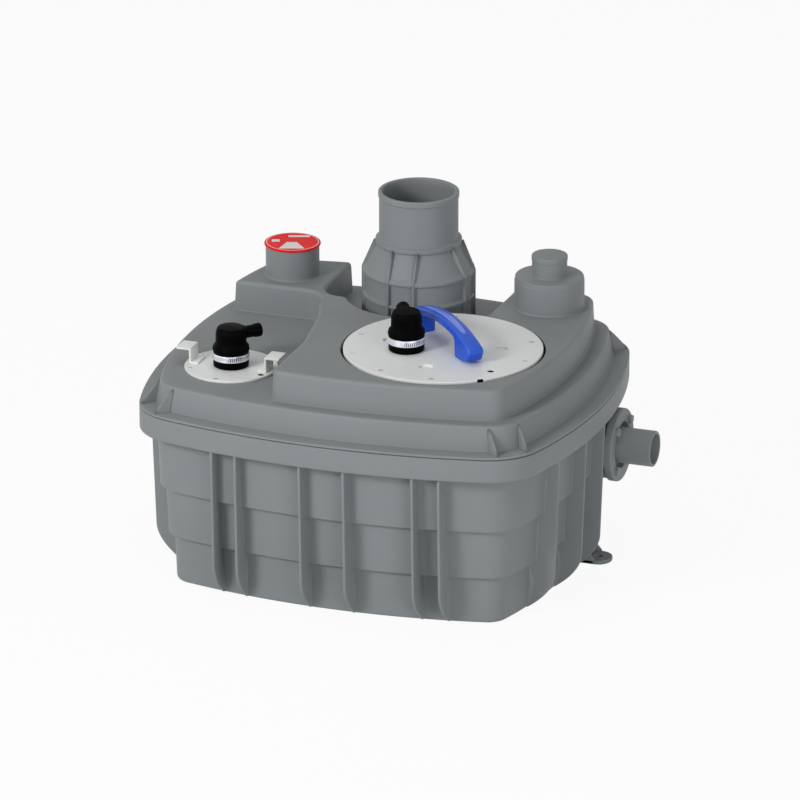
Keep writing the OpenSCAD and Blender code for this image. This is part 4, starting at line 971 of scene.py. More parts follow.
@dataclass
class Tank:
    """Moulded tank: three drafted courses under a band, ribs, anchor lugs and the port's boss."""

    plan: Plan
    rim_z: float = 255.0
    band_z: float = 222.0
    mid_z: float = 140.0
    low_z: float = 69.0
    # Inset of each course at its foot, and how far each leans in
    course_in: tuple[float, float, float] = (49.4, 38.4, 27.4)
    draft: float = 2.6
    floor: float = 6.0
    rib_top_in: float = 6.0
    rib_low_in: float = 12.0
    keel_z: float = 54.0
    keel_in: float = 38.5
    outer_pair_x: float = 145.0
    outer_pair_gap: float = 36.0
    mid_pair_gap: float = 63.0
    rib_shift: float = 4.0
    side_rib_y: tuple[float, ...] = (-131.0, -48.0, 28.0)
    far_rib_y: float = 112.0
    lug_y: float = 66.5
    lug_w: float = 40.0
    lug_tip_x: float = 307.0
    lug_wall_x: float = 258.0
    lug_hole_in: float = 19.0
    lug_hole_r: float = 5.5
    cheek_t: float = 4.0
    cheek_h: float = 30.0
    port: tuple[float, float] = (79.5, 169.0)
    port_face_x: float = 303.0
    port_root_x: float = 256.0

    def shell(self, skin: Skin) -> None:
        """Outer and inner wall as one profile of (inset, height, rounding), carried round the plan."""
        low, mid, band, rim = self.low_z, self.mid_z, self.band_z, self.rim_z
        outer = [
            (64, 0, 0), (49.4, 0, 5), (47.06, low - 7, 0), (46.8, low, 1.0), (38.4, low, 1.6),
            (36.06, mid - 7, 0), (35.8, mid, 1.0), (27.4, mid, 1.6), (25.28, band - 15, 0),
            (24.8, band, 1.2), (0, band, 3.0), (0, rim - 0.5, 1.4), (5, rim - 0.5, 1.5),
        ]
        inner = [
            (5, 227, 2), (31, 227, 2), (31, 145, 2), (42, 145, 2), (42, 74, 2), (53.5, 74, 2),
            (53.5, self.floor, 5), (70, self.floor, 0),
        ]
        net = self.plan.carried(turned(outer + inner, 5))
        skin.grid(net)
        skin.fill(net[0, :, :2], [], 0.0, Facing.DOWN)
        skin.fill(net[-1, :, :2], [], self.floor)

    def wall_in(self, z: Array) -> Array:
        """Inset of the drafted wall at a height."""
        feet, tops = (0.0, self.low_z, self.mid_z), (self.low_z, self.mid_z, self.band_z)
        lean = [e - self.draft * (z - a) / (b - a) for e, a, b in zip(self.course_in, feet, tops)]
        return np.select([z < self.low_z, z < self.mid_z], lean[:2], lean[2])

    def rib_edge(self) -> Array:
        """Outer edge of a rib as (inset, height).

        It leans in from the band down to the keel, and curves in from there: e + k t^2 at height
        z (1 - t).
        """
        near = [z + step for z in (self.mid_z, self.low_z) for step in (0.6, -0.6)]
        z = np.array([self.band_z + 2.5, 200, 170, *near[:2], 120, 95, *near[2:], 60])
        lean = (self.band_z - z) / (self.band_z - self.keel_z)
        inset = self.rib_top_in + (self.rib_low_in - self.rib_top_in) * lean
        t = np.linspace(0, 1, 17)
        keel = np.column_stack([self.rib_low_in + self.keel_in * t**2, self.keel_z * (1 - t) + 0.2])
        return np.concatenate([np.column_stack([inset, z]), keel])

    def ribs(self, skin: Skin) -> None:
        """Ribs under the band: six at the front, six at the back, three and four at the sides."""
        edge = self.rib_edge()
        rib = Rib()
        inset, z, side = rib.net(edge, self.wall_in(edge[:, 1]) - edge[:, 0])
        c, g, m = self.outer_pair_x, self.outer_pair_gap / 2, self.mid_pair_gap / 2
        for x in np.array([-c - g, -c + g, -m, m, c - g, c + g]) + self.rib_shift:
            y = self.plan.front_y(x, inset)
            for sign in (1, -1):
                rib.put(skin, np.stack([x + side * sign, y * sign, z], axis=-1))
        for sign, places in ((1, self.side_rib_y), (-1, (*self.side_rib_y, self.far_rib_y))):
            for y in places:
                x = self.plan.side_x(y, inset)
                rib.put(skin, np.stack([x * sign, y + side * sign, z], axis=-1))

    def lugs(self, skin: Skin) -> None:
        """Two anchor lugs: a round-ended tray with a hole between two cheeks."""
        wall, half, tip = self.lug_wall_x, self.lug_w / 2, self.lug_tip_x
        end = half - 0.5
        tray = np.array([(wall, -half, 2), (tip, -half, end), (tip, half, end), (wall, half, 2)])
        hole = Bore(tip - self.lug_hole_in, 0, self.lug_hole_r)
        cheek = np.array([
            (wall, 0.2, 1), (tip - half, 0.2, 2), (tip - half, 7.5, 4),
            (wall + 9, self.cheek_h, 6), (wall, self.cheek_h, 1),
        ])
        for sign in (1, -1):
            place = np.diag([float(sign), 1.0, 1.0, 1.0])
            place[1, 3] = self.lug_y
            Slab(tray, 0, self.floor, steps=10, bores=(hole,)).put(skin.at(place))
            for y in (-half, half - self.cheek_t):
                upright = place @ np.array([[1.0, 0, 0, 0], [0, 0, 1, y], [0, 1, 0, 0], [0, 0, 0, 1]])
                Slab(cheek, 0, self.cheek_t, steps=4).put(skin.at(upright))

    def boss(self, skin: Skin) -> None:
        """Round boss that carries the discharge flange, about the port's axis."""
        root, face = self.port_root_x, self.port_face_x
        rows = [(AXIS, root, 0), (49.5, root, 1), (48, face, 1.5), (AXIS, face, 0)]
        skin.at(placing((0, *self.port), (1, 0, 0))).lathe(rows, 4, 72)

    def build(self, paint: Paint) -> None:
        """Makes the tank piece."""
        skin = Skin()
        self.shell(skin)
        self.ribs(skin)
        self.lugs(skin)
        self.boss(skin)
        finished("tank_skin", skin, "tank_grey", paint, ["tank"])


@dataclass
class Lid:
    """Moulded lid: a lip, a ledge, a lower tier and a plateau, with its seats, stubs and gussets.

    The plateau is cut away for the sensor plate and the tower.
    """

    plan: Plan
    rim_z: float = 255.0
    ledge_z: float = 259.0
    terrace_z: float = 293.0
    plateau_z: float = 336.0
    wall: float = 3.0
    pump: tuple[float, float] = (107.0, -69.5)
    seat_r: float = 140.0
    seat_z: float = 332.0
    groove_r: float = 131.0
    groove_d: float = 7.0
    hatch_r: float = 112.0
    sensor: tuple[float, float] = (-180.0, -127.5)
    sensor_hatch_r: float = 48.0
    tower_y: float = 132.5
    tower_hole_r: float = 70.4
    recess_r: float = 99.0
    recess_half_w: float = 120.0
    recess_left_w: float = 128.0
    recess_y: float = 87.0
    recess_corner: float = 30.0
    land_r: float = 146.0
    tier2_in: float = 49.0
    brink: float = 8.4
    front_x: float = -86.0
    # Where the outer ring starts in the plateau's loop, and how far it stays off the loop's corners
    ring_x: float = -78.0
    ring_in: float = 8.0
    block_x: float = -120.0
    block_y: float = 90.0
    vent: tuple[float, float] = (-192.0, 147.5)
    vent_r: float = 37.5
    vent_top: float = 380.0
    spare: tuple[float, float] = (188.0, 142.5)
    spare_step: float = 45.0
    spare_top: float = 30.0
    gusset_gap: float = 44.0
    # Widths that the plateau and the terrace keep clear round a seat, a stub and a hole
    seat_edge: float = 1.6
    vent_edge: float = 4.2
    hole_edge: float = 3.0

    def outline(self) -> tuple[Array, Array]:
        """The parts of the outer ring that bound the plateau, right and left of its front."""
        ring = self.plan.ring(self.tier2_in)
        x, y = ring.T
        start = int(np.flatnonzero((y < 0) & (x > self.ring_x) & (x < 0))[0])
        ring = np.roll(ring, -start, axis=0)
        x, y = ring.T
        clear = self.ring_in + 1
        right = ring[((y < 0) & (x > self.ring_x)) | ((y >= 0) & (x > self.recess_half_w + clear))]
        left = ring[(y > self.block_y + self.ring_in) & (x < -self.recess_left_w - clear)]
        return right, left

    def bay(self) -> list[tuple[object, float, float]]:
        """Rows of the plateau's edge round the tower: along the pump's land, then round the recess.

        The land is a circle about the pump plate, and it cuts the recess's circle about the tower
        at the tip.
        """
        pump, tower = np.array(self.pump), np.array([0.0, self.tower_y])
        gap = np.linalg.norm(pump - tower)
        on = (self.recess_r**2 - self.land_r**2 + gap**2) / (2 * gap)
        across = math.sqrt(self.recess_r**2 - on**2)
        way = (pump - tower) / gap
        tip = tower + on * way + across * np.array([way[1], -way[0]])
        edge_y = pump[1] + math.sqrt(self.land_r**2 - (self.recess_half_w - pump[0]) ** 2)
        first = math.atan2(edge_y - pump[1], self.recess_half_w - pump[0])
        last = math.atan2(*(tip - pump)[::-1])
        land = arc_points(self.land_r, 14, first, last, False)[1:-1] + pump
        tip_a = math.atan2(*(tip - tower)[::-1])
        end_a = -math.pi + math.asin((self.tower_y - self.recess_y) / self.recess_r)
        arc = arc_points(self.recess_r, 14, tip_a, end_a, False)[1:-1] + tower
        arc_end = tower + self.recess_r * np.array([math.cos(end_a), math.sin(end_a)])
        return [
            ((self.recess_half_w, edge_y), 8, 0.6), (land, 0, 0.28), (tip, 7, 0.28), (arc, 0, 1),
            (arc_end, 10, 1),
        ]

    def plateau_rows(self) -> tuple[Array, Array]:
        """Plan corners of the plateau with their radii, and how much of the inset each takes.

        The loop follows the outer ring, goes round the tower's recess and comes back along the walls
        round the sensor plate.
        """
        e, w, far, block = self.tier2_in, self.recess_half_w, self.recess_left_w, self.block_x
        right, left = self.outline()
        back, far_back = (-float(self.plan.front_y(v, e)) for v in (w, far))
        side = -float(self.plan.side_x(self.block_y, e))
        front = float(self.plan.front_y(self.front_x, e))
        rows: list[tuple[object, float, float]] = [
            ((self.front_x, front), 13, 1), (right, 0, 1), ((w, back), 8, 1), *self.bay(),
            ((-far, self.recess_y), self.recess_corner, 1), ((-far, far_back), 8, 1), (left, 0, 1),
            ((side, self.block_y), 6, 1), ((block, self.block_y), 34, 1), ((block, 52.0), 20, 1),
            ((-103.0, 2.0), 90, 1), ((self.front_x, -100.0), 90, 1),
        ]
        corners = np.concatenate([np.atleast_2d(p) for p, _, _ in rows])
        sizes = [len(np.atleast_2d(p)) for p, _, _ in rows]
        radii, share = (np.repeat([row[i] for row in rows], sizes) for i in (1, 2))
        return np.column_stack([corners, radii]), share

    def shell(self, skin: Skin) -> None:
        """Rim, plateau walls and seats, then the flat terrace and plateau between them."""
        rim, ledge, low, high = self.rim_z + 0.7, self.ledge_z, self.terrace_z, self.plateau_z
        edge = [
            (5, rim, 0), (0, rim, 0.5), (0, ledge, 1.2), (19, ledge, 0), (23, ledge, 1.2),
            (23.7, ledge + 4, 0), (29, low, 4.5), (40, low, 0),
        ]
        net = self.plan.carried(turned(edge, 6))
        skin.grid(net)
        rows, share = self.plateau_rows()

        def ring(inset: float) -> Array:
            """The plateau's loop at an inset."""
            return turned(rows, 6, True, inset * share if inset > 0 else inset)

        rise = [
            (-7, low, 0), (-3.5, low, 0), (0, low, 1.0), (0.2, low + 4, 0), (2.2, high, 6),
            (self.brink, high, 0),
        ]
        loops = [np.column_stack([ring(e), np.full(len(ring(e)), z)]) for e, z in turned(rise, 7)]
        skin.grid(np.stack(loops))
        self.seats(skin)
        hatch = arc_points(self.sensor_hatch_r + self.hole_edge, 64) + self.sensor
        hole = arc_points(self.tower_hole_r + self.hole_edge, 96) + (0, self.tower_y)
        skin.fill(net[-1, :, :2], [ring(-7), hatch, hole], low)
        seat = arc_points(self.seat_r + self.seat_edge, 96) + self.pump
        stub = arc_points(self.vent_r + self.vent_edge, 72) + self.vent
        skin.fill(ring(self.brink), [seat, stub], high)

    def seats(self, skin: Skin) -> None:
        """Pump seat with its groove, sensor hatch, tower hole and vent stub, each about its own axis."""
        high, low, groove = self.plateau_z, self.terrace_z, self.seat_z - self.groove_d
        seat, inner, hatch = self.seat_r, self.groove_r, self.hatch_r
        rows = [
            (seat + self.seat_edge, high, 0), (seat, high, 1.0), (seat, groove, 0.8), (inner, groove, 0.8),
            (inner, self.seat_z, 0.4), (hatch, self.seat_z, 0.8), (hatch, self.seat_z - 9, 0),
        ]
        skin.at(placing((*self.pump, 0))).lathe(rows, 3, 96)
        holes = ((self.sensor, self.sensor_hatch_r, 9, 64), ((0, self.tower_y), self.tower_hole_r, 3, 96))
        for place, r, depth, steps in holes:
            rows = [(r + self.hole_edge, low, 0), (r, low, 0.8), (r, low - depth, 0)]
            skin.at(placing((*place, 0))).lathe(rows, 3, steps)
        r, top = self.vent_r, self.vent_top
        rows = [
            (r + self.vent_edge, high, 0), (r, high, 2.6), (r, high + 8, 0), (r, top, 1.0),
            (r - 1.6, top, 0),
        ]
        skin.at(placing((*self.vent, 0))).lathe(rows, 5, 72)
        skin.at(np.eye(4))

    def gap_shade_seal(self) -> Skin:
        """Black lip that fills the groove round the pump plate: a seal, and also painted shade for the dark
        gap there.
        """
        inner, outer, low = self.groove_r + 0.4, self.seat_r - 0.4, self.seat_z - self.groove_d + 0.4
        top = self.seat_z
        rows = [(inner, low, 0.8), (outer, low, 0.8), (outer, top, 0.8), (inner, top - 0.2, 0.8)]
        skin = Skin().at(placing((*self.pump, 0)))
        skin.lathe(rows, 3, 96, True)
        return skin

    def spare_inlet(self, skin: Skin) -> None:
        """Stepped blank of the spare inlet, with a bead on its small step."""
        p, step = self.plateau_z, self.plateau_z + self.spare_step
        top = step + self.spare_top
        rows = [
            (AXIS, p - 3, 0), (50.5, p - 3, 0.3), (50.5, p - 1, 0.6), (48.5, p + 1, 1.6), (48.5, p + 6, 0),
            (48.5, step - 6, 0.5), (47.6, step - 5, 0.5), (47.6, step, 2.0), (24.4, step, 1.6),
            (24.4, step + 4, 0), (24.4, top - 8, 0.4), (25, top - 7, 0.4), (25, top, 1.8), (AXIS, top, 0),
        ]
        skin.at(placing((*self.spare, 0))).lathe(rows, 5, 72)
        skin.at(np.eye(4))

    def gussets(self, skin: Skin) -> None:
        """Pairs of thin gussets on the ledge's corners, along each corner's diagonal."""
        corner = self.plan.centres()[1]
        half, height = self.gusset_gap / 2, self.terrace_z - self.ledge_z
        out = math.sqrt((self.plan.corner - 2.2) ** 2 - half**2)
        wall = math.sqrt((self.plan.corner - 29) ** 2 - half**2)
        t = np.linspace(0, 1, 9)
        reach, z = wall + 1 + (out - wall - 1) * t**0.92, self.terrace_z - 2.5 - (height - 3.5) * t
        root = np.clip(reach - (wall + 6 * (self.terrace_z - z) / height), 2.0, None)
        rib = Rib(thickness=3.0, flare=0.8, buried=5.0, least=2.0)
        x, z, side = rib.net(np.column_stack([-reach, z]), root)
        z = np.maximum(z, self.ledge_z - 3)
        c, s = math.cos(-math.pi / 4), math.sin(-math.pi / 4)
        for sx, sy, g in ((a, b, g) for a in (1, -1) for b in (1, -1) for g in (-half, half)):
            px, py = -x, side + g
            across, along = corner[0] + c * px - s * py, corner[1] + s * px + c * py
            points = np.stack([across * sx, along * sy, z], axis=-1)
            rib.put(skin, points if sx * sy < 0 else points[:, ::-1])

    def build(self, paint: Paint) -> None:
        """Makes the lid and its wall, the seal's lip, which is also painted shade in the gap round the pump
        plate, and the solid stubs.
        """
        skin, stubs = Skin(), Skin()
        self.shell(skin)
        obj = finished("lid_skin", skin, "lid_grey", paint, ["lid"])
        wall = obj.modifiers.new("wall", "SOLIDIFY")
        wall.thickness, wall.offset = self.wall * MM, -1.0
        # The black lip is a seal and also painted shade in the gap round the pump plate.
        finished("pump_gap_shade_seal", self.gap_shade_seal(), "rubber_black", paint)
        self.spare_inlet(stubs)
        self.gussets(stubs)
        finished("lid_stubs", stubs, "lid_grey", paint)


@dataclass
class Tower:
    """Inlet tower: an open stub over a cone, a barrel with two rings and four pairs of ribs."""

    y: float = 132.5
    base_z: float = 293.0
    low_ring_z: float = 338.0
    shoulder_z: float = 374.0
    collar_z: float = 416.0
    top_z: float = 486.0
    stub_r: float = 55.0
    bore_r: float = 50.0
    barrel_r: float = 74.0
    ring_r: float = 78.0
    collar_r: float = 60.0
    cone_r: float = 57.0
    rib_r: float = 77.2
    rib_top_r: float = 59.0
    rib_gap: float = 37.0

    def radius_at(self, z: Array) -> Array:
        """Radius of the body between its rings at a height."""
        heights = [self.base_z, self.shoulder_z + 2, self.collar_z - 6]
        return np.interp(z, heights, [self.barrel_r, self.barrel_r, self.cone_r])

    def body(self, skin: Skin) -> None:
        """Outer and inner wall as one closed profile round the axis."""
        b, low, sh, co, top = self.base_z, self.low_ring_z, self.shoulder_z, self.collar_z, self.top_z
        rr, br, cr, sr, r = self.ring_r, self.barrel_r, self.collar_r, self.stub_r, self.bore_r
        foot = [(58, 271, 1), (62, 271, 1), (62, b + 0.1, 0.3), (rr, b + 0.1, 1), (rr, b + 5, 1.6)]
        barrel = [
            (br, b + 6.5, 1.6), (br, low - 3, 1.2), (rr, low - 2, 1.2), (rr, low + 2, 1.2),
            (br, low + 3, 1.2), (br, sh - 5, 1.2), (rr, sh - 4, 1.6), (rr, sh, 2.6),
        ]
        cone = [(br - 1, sh + 4, 5), (57.2, co - 6, 1.0), (cr, co - 4, 0.9), (cr, co + 1.5, 1.2)]
        stub = [
            (sr, co + 3.5, 1.8), (sr, top - 9, 1), (sr + 1.2, top - 7.5, 1), (sr + 1.2, top, 1.8),
            (r + 0.6, top, 1.6), (r, top - 8, 4),
        ]
        inner = [(r, co - 8, 8), (69, sh - 4, 6), (69, b + 14, 3), (58, b + 2, 3)]
        skin.at(placing((0, self.y, 0))).lathe(foot + barrel + cone + stub + inner, 4, 96, True)

    def ribs(self, skin: Skin) -> None:
        """Ribs in pairs, each parallel to its pair's direction, from the collar down to the base."""
        rib, half = Rib(thickness=3.7, flare=0.9, buried=5.0), self.rib_gap / 2
        sh, co = self.shoulder_z, self.collar_z
        z = np.array([co - 1.5, co - 12, sh + 14, sh + 3, sh - 1, sh - 6, 355, 320, self.base_z + 3])
        x = np.interp(z, [self.base_z, sh - 1, co - 1], [self.rib_r, self.rib_r, self.rib_top_r])
        root = x - np.sqrt(self.radius_at(z) ** 2 - half**2)
        deep, height, side = rib.net(np.column_stack([-x, z]), root)
        for turn in (0, 90, 180, 270):
            skin.at(placing((0, self.y, 0), turn=turn))
            for g in (-half, half):
                rib.put(skin, np.stack([-deep, side + g, height], axis=-1)[:, ::-1])

    def build(self, paint: Paint) -> None:
        """Makes the tower piece."""
        skin = Skin()
        self.body(skin)
        self.ribs(skin)
        finished("tower_skin", skin, "lid_grey", paint, ["inlet_tower"])


@dataclass
class VentCap:
    """Red push-in cap: a slightly crowned disc over a plug ring."""

    x: float = -192.0
    y: float = 147.5
    z: float = 380.0
    radius: float = 39.5
    thick: float = 3.0
    plug: float = 12.0
    plug_r: float = 34.3
    inner_r: float = 31.9

    def build(self, paint: Paint) -> None:
        """Makes the cap as one profile round its axis."""
        r, inner, outer, top = self.radius, self.inner_r, self.plug_r, self.thick
        rows = [
            (AXIS, -0.6, 0), (inner, -0.6, 0.5), (inner, -self.plug, 0.5), (outer, -self.plug, 0.8),
            (outer, 0.02, 0.3), (r, 0.02, 0.6), (r, top - 0.5, 0.9), (r - 5, top, 3), (AXIS, top, 0),
        ]
        skin = Skin().at(placing((self.x, self.y, self.z)))
        skin.lathe(rows, 4, 96)
        finished("vent_cap_skin", skin, "cap_red", paint, ["vent_cap"], "vent_cap")


def spread(radius: float, degrees: object) -> Array:
    """Places x + iy at a radius, one for each angle."""
    return radius * np.exp(1j * np.radians(degrees))


@dataclass
class PumpPlate:
    """Round white plate over the pump, with its screw places, counterbores, relief hole and rim notch."""

    x: float = 107.0
    y: float = -69.5
    bottom: float = 332.0
    top: float = 338.0
    radius: float = 136.5
    screw_in: float = 13.5
    first: float = 174.0
    count: int = 10
    free: int = 4
    columns: tuple[float, float, float] = (17.0, 177.0, 272.0)
    column_r: float = 79.0
    bolt_end: float = 308.4
    bolt_r: float = 4.0
    head_r: float = 7.0
    head_d: float = 3.6
    head_bore_r: float = 9.2
    screw_r: float = 4.2
    screw_d: float = 2.6
    relief_r: float = 113.0
    relief_a: float = -36.0
    relief_hole_r: float = 4.9
    # Radius of the black plug that is painted shade in the relief hole
    plug_r: float = 4.8
    notch: float = -49.0
    notch_size: float = 4.4

    def bores(self) -> tuple[Bore, ...]:
        """Holes of the plate, in its own plan; the last one is the relief hole."""
        keep = np.delete(np.arange(self.count), self.free)
        places = spread(self.radius - self.screw_in, self.first + keep * 360 / self.count)
        screws = [Bore(p.real, p.imag, self.screw_r, self.screw_d) for p in places]
        columns = spread(self.column_r, self.columns)
        heads = [Bore(p.real, p.imag, self.head_bore_r, self.head_d, edge=1.2) for p in columns]
        relief = spread(self.relief_r, self.relief_a)
        return (*screws, *heads, Bore(relief.real, relief.imag, self.relief_hole_r))

    def plate(self, bores: tuple[Bore, ...]) -> Slab:
        """The plate, whose rim loop breaks off at the notch."""
        size, a = self.notch_size, math.radians(self.notch)
        half, deep = math.asin(size / self.radius), self.radius - size
        rim = arc_points(self.radius, 110, a + half, a - half + 2 * math.pi, False)
        c, s = math.cos(a), math.sin(a)
        inner = np.array([(deep * c + size * s * way, deep * s - size * c * way) for way in (1, -1)])
        radii = np.concatenate([[0.4], np.zeros(len(rim) - 2), [0.4, 0.4, 0.4]])
        rows = np.column_stack([np.concatenate([rim, inner]), radii])
        return Slab(rows, self.bottom, self.top, rim=1.0, steps=3, bores=bores)

    def bolts(self) -> Skin:
        """Column bolts, each with a round head that lies in its counterbore."""
        r, head, end, seat = self.bolt_r, self.head_r, self.bolt_end, self.top - self.head_d
        rows = [
            (AXIS, end, 0), (r, end, 0.6), (r, seat, 0.2), (head, seat, 0.2), (head, seat + 0.8, 0.4),
            (AXIS, seat + 1.0, 0),
        ]
        skin = Skin()
        for p in spread(self.column_r, self.columns):
            skin.at(placing((self.x + p.real, self.y + p.imag, 0))).lathe(rows, 3, 40)
        return skin

    def tab(self, skin: Skin) -> None:
        """Black tab in the rim notch: painted shade for the notch's dark gap."""
        a = math.radians(self.notch)
        out, across = np.array([math.cos(a), math.sin(a)]), np.array([-math.sin(a), math.cos(a)])
        inner, outer, half = self.radius - self.notch_size + 0.5, self.radius - 0.4, self.notch_size - 0.5
        sides = ((inner, -half), (outer, -half), (outer, half), (inner, half))
        rows = np.array([(*(r * out + w * across), 0.6) for r, w in sides])
        skin.at(placing((self.x, self.y, 0)))
        Slab(rows, self.bottom + 0.3, self.top - 0.6, rim=0.5, steps=3).put(skin)

    def build(self, paint: Paint) -> None:
        """Makes the plate, the bolts in its counterbores and the black plug and tab, which are painted shade
        in the relief hole and the rim notch.
        """
        bores = self.bores()
        skin = Skin().at(placing((self.x, self.y, 0)))
        self.plate(bores).put(skin)
        finished("pump_plate_skin", skin, "plate_white", paint, ["motor_plate"])
        finished("column_bolts_skin", self.bolts(), "plate_white", paint, ["column_bolts"])
        # The black plug in the relief hole and the tab in the notch are painted shade for their dark depth.
        hole = bores[-1]
        x, y = self.x + hole.x, self.y + hole.y
        seal = plug(x, y, self.plug_r, self.bottom + 0.5, self.top - 0.8, rim=0.8)
        self.tab(seal)
        finished("pump_plate_hole_and_notch_shade", seal, "rubber_black", paint)


@dataclass
class SensorPlate:
    """Small round plate of the level sensor with its two lifting grips."""

    x: float = -180.0
    y: float = -127.5
    bottom: float = 293.0
    top: float = 297.0
    radius: float = 64.0
    screw_in: float = 7.5
    first: float = 29.0
    count: int = 6
    free: int = 5
    free_turn: float = 8.0
    screw_r: float = 3.4
    screw_d: float = 1.6
    hole_r: float = 4.3
    plug_r: float = 4.2
    grip_x: float = 55.0
    grip_l: float = 29.0
    grip_h: float = 22.0
    grip_t: float = 3.0
    foot: float = 12.0
    arm: float = 20.0

    def build(self, paint: Paint) -> None:
        """Makes the plate with its screw places, the plug in its free hole and the two grips."""
        angles = self.first + np.arange(self.count) * 360 / self.count
        angles[self.free] += self.free_turn
        places = spread(self.radius - self.screw_in, angles)
        hole = places[self.free]
        bores = [Bore(p.real, p.imag, self.screw_r, self.screw_d) for p in places]
        bores[self.free] = Bore(hole.real, hole.imag, self.hole_r)
        skin = Skin().at(placing((self.x, self.y, 0)))
        plate = Slab(disc(self.radius), self.bottom, self.top, rim=1.1, steps=3, bores=tuple(bores))
        plate.put(skin)
        finished("sensor_plate_skin", skin, "plate_white", paint, ["sensor_plate"])
        x, y = self.x + hole.real, self.y + hole.imag
        seal = plug(x, y, self.plug_r, self.bottom + 0.5, self.top - 0.5, rim=0.6)
        finished("sensor_plate_plug", seal, "rubber_black", paint)
        self.grips(paint)

    def grips(self, paint: Paint) -> None:
        """Each grip is a Z-shaped line with a thickness, carried across."""
        t, h, arm, foot = self.grip_t, self.grip_h, self.arm, self.foot
        rows = np.array([
            (-foot, 0, 0.8), (t / 2, 0, 1.6), (t / 2, h - t, 0.8), (arm, h - t, 0.8),
            (arm, h, 0.8), (-t / 2, h, 1.6), (-t / 2, t, 0.8), (-foot, t, 0.8),
        ])
        for side, name in ((-1, "left"), (1, "right")):
            x, y = self.x + side * self.grip_x, self.y - self.grip_l / 2
            place = np.array([[side, 0, 0, x], [0, 0, 1.0, y], [0, 1.0, 0, self.top], [0, 0, 0, 1]])
            grip = Skin().at(place)
            Slab(rows, 0, self.grip_l, rim=0.7, steps=4).put(grip)
            node = f"{name}_lifting_grip"
            finished(f"{name}_grip_skin", grip, "grip_white", paint, [node])


@dataclass
class Handle:
    """Blue lifting handle: an arched strap on two thick feet, with a raised ridge along its top in a lighter
    blue that is a painted highlight.
    """

    x: float = 104.5
    y: float = -56.0
    z: float = 338.0
    angle: float = -44.0
    length: float = 192.0
    width: float = 24.0
    height: float = 43.0
    end_h: float = 22.0
    grip_l: float = 108.0
    grip_t: float = 11.0
    ridge_half: float = 62.0
    ridge_w: float = 4.6
    ridge_h: float = 1.6

    def arch(self, x: Array, drop: float = 0.0) -> Array:
        """Height of the arch at x: h - drop - R (1 - cos(asin(x / R))), with R from the sag at the ends."""
        sag = self.height - self.end_h
        radius = ((self.length / 2) ** 2 + sag**2) / (2 * sag)
        return self.height - drop - (radius - np.sqrt(radius**2 - np.square(x)))

    def side_view(self) -> Array:
        """Rows of the strap's side view: right foot, top, left foot, underside."""
        half, g, end = self.length / 2, self.grip_l / 2, self.end_h - 5
        top_x = np.linspace(half - 3, -half + 3, 25)
        under_x = np.linspace(-g + 4, g - 4, 17)
        top = np.column_stack([top_x, self.arch(top_x), np.zeros(25)])
        under = np.column_stack([under_x, self.arch(under_x, self.grip_t), np.zeros(17)])
        under[[0, -1], 2] = 6
        right = [(g - 3, 0.4, 1.5), (g + 19, 0.1, 5), (half - 6, 5, 3), (half, end, 3)]
        left = [(-x, z, r) for x, z, r in right[::-1]]
        return np.concatenate([right, top, left, under])

    def ridge(self, skin: Skin) -> None:
        """Crowned strip on the arch; it narrows to nothing at its ends."""
        half = self.ridge_half
        u, v = np.meshgrid(np.linspace(-half, half, 49), np.linspace(-1, 1, 11), indexing="ij")
        taper = np.sqrt(np.clip(1 - (u / half) ** 8, 0, 1))
        lift = self.ridge_h * np.sqrt(np.clip(1 - v**2, 0, 1)) * taper
        z, across = self.arch(u) - 0.4 + lift, self.width / 2 + self.ridge_w * v * taper
        skin.grid(np.stack([u, z, across], axis=-1), around=False)

    def build(self, paint: Paint) -> None:
        """Makes the strap from its side view, and the ridge on it."""
        c, s = math.cos(math.radians(self.angle)), math.sin(math.radians(self.angle))
        x, y = self.x - s * self.width / 2, self.y + c * self.width / 2
        upright = np.array([[c, 0, s, x], [s, 0, -c, y], [0, 1.0, 0, self.z], [0, 0, 0, 1]])
        skin, band = Skin().at(upright), Skin().at(upright)
        Slab(self.side_view(), 0, self.width, rim=3.4, steps=4).put(skin)
        finished("handle_skin", skin, "handle_blue", paint, ["lifting_handle"])
        self.ridge(band)
        # The ridge's lighter blue is a painted highlight.
        finished("handle_ridge", band, "ridge_highlight_blue", paint)


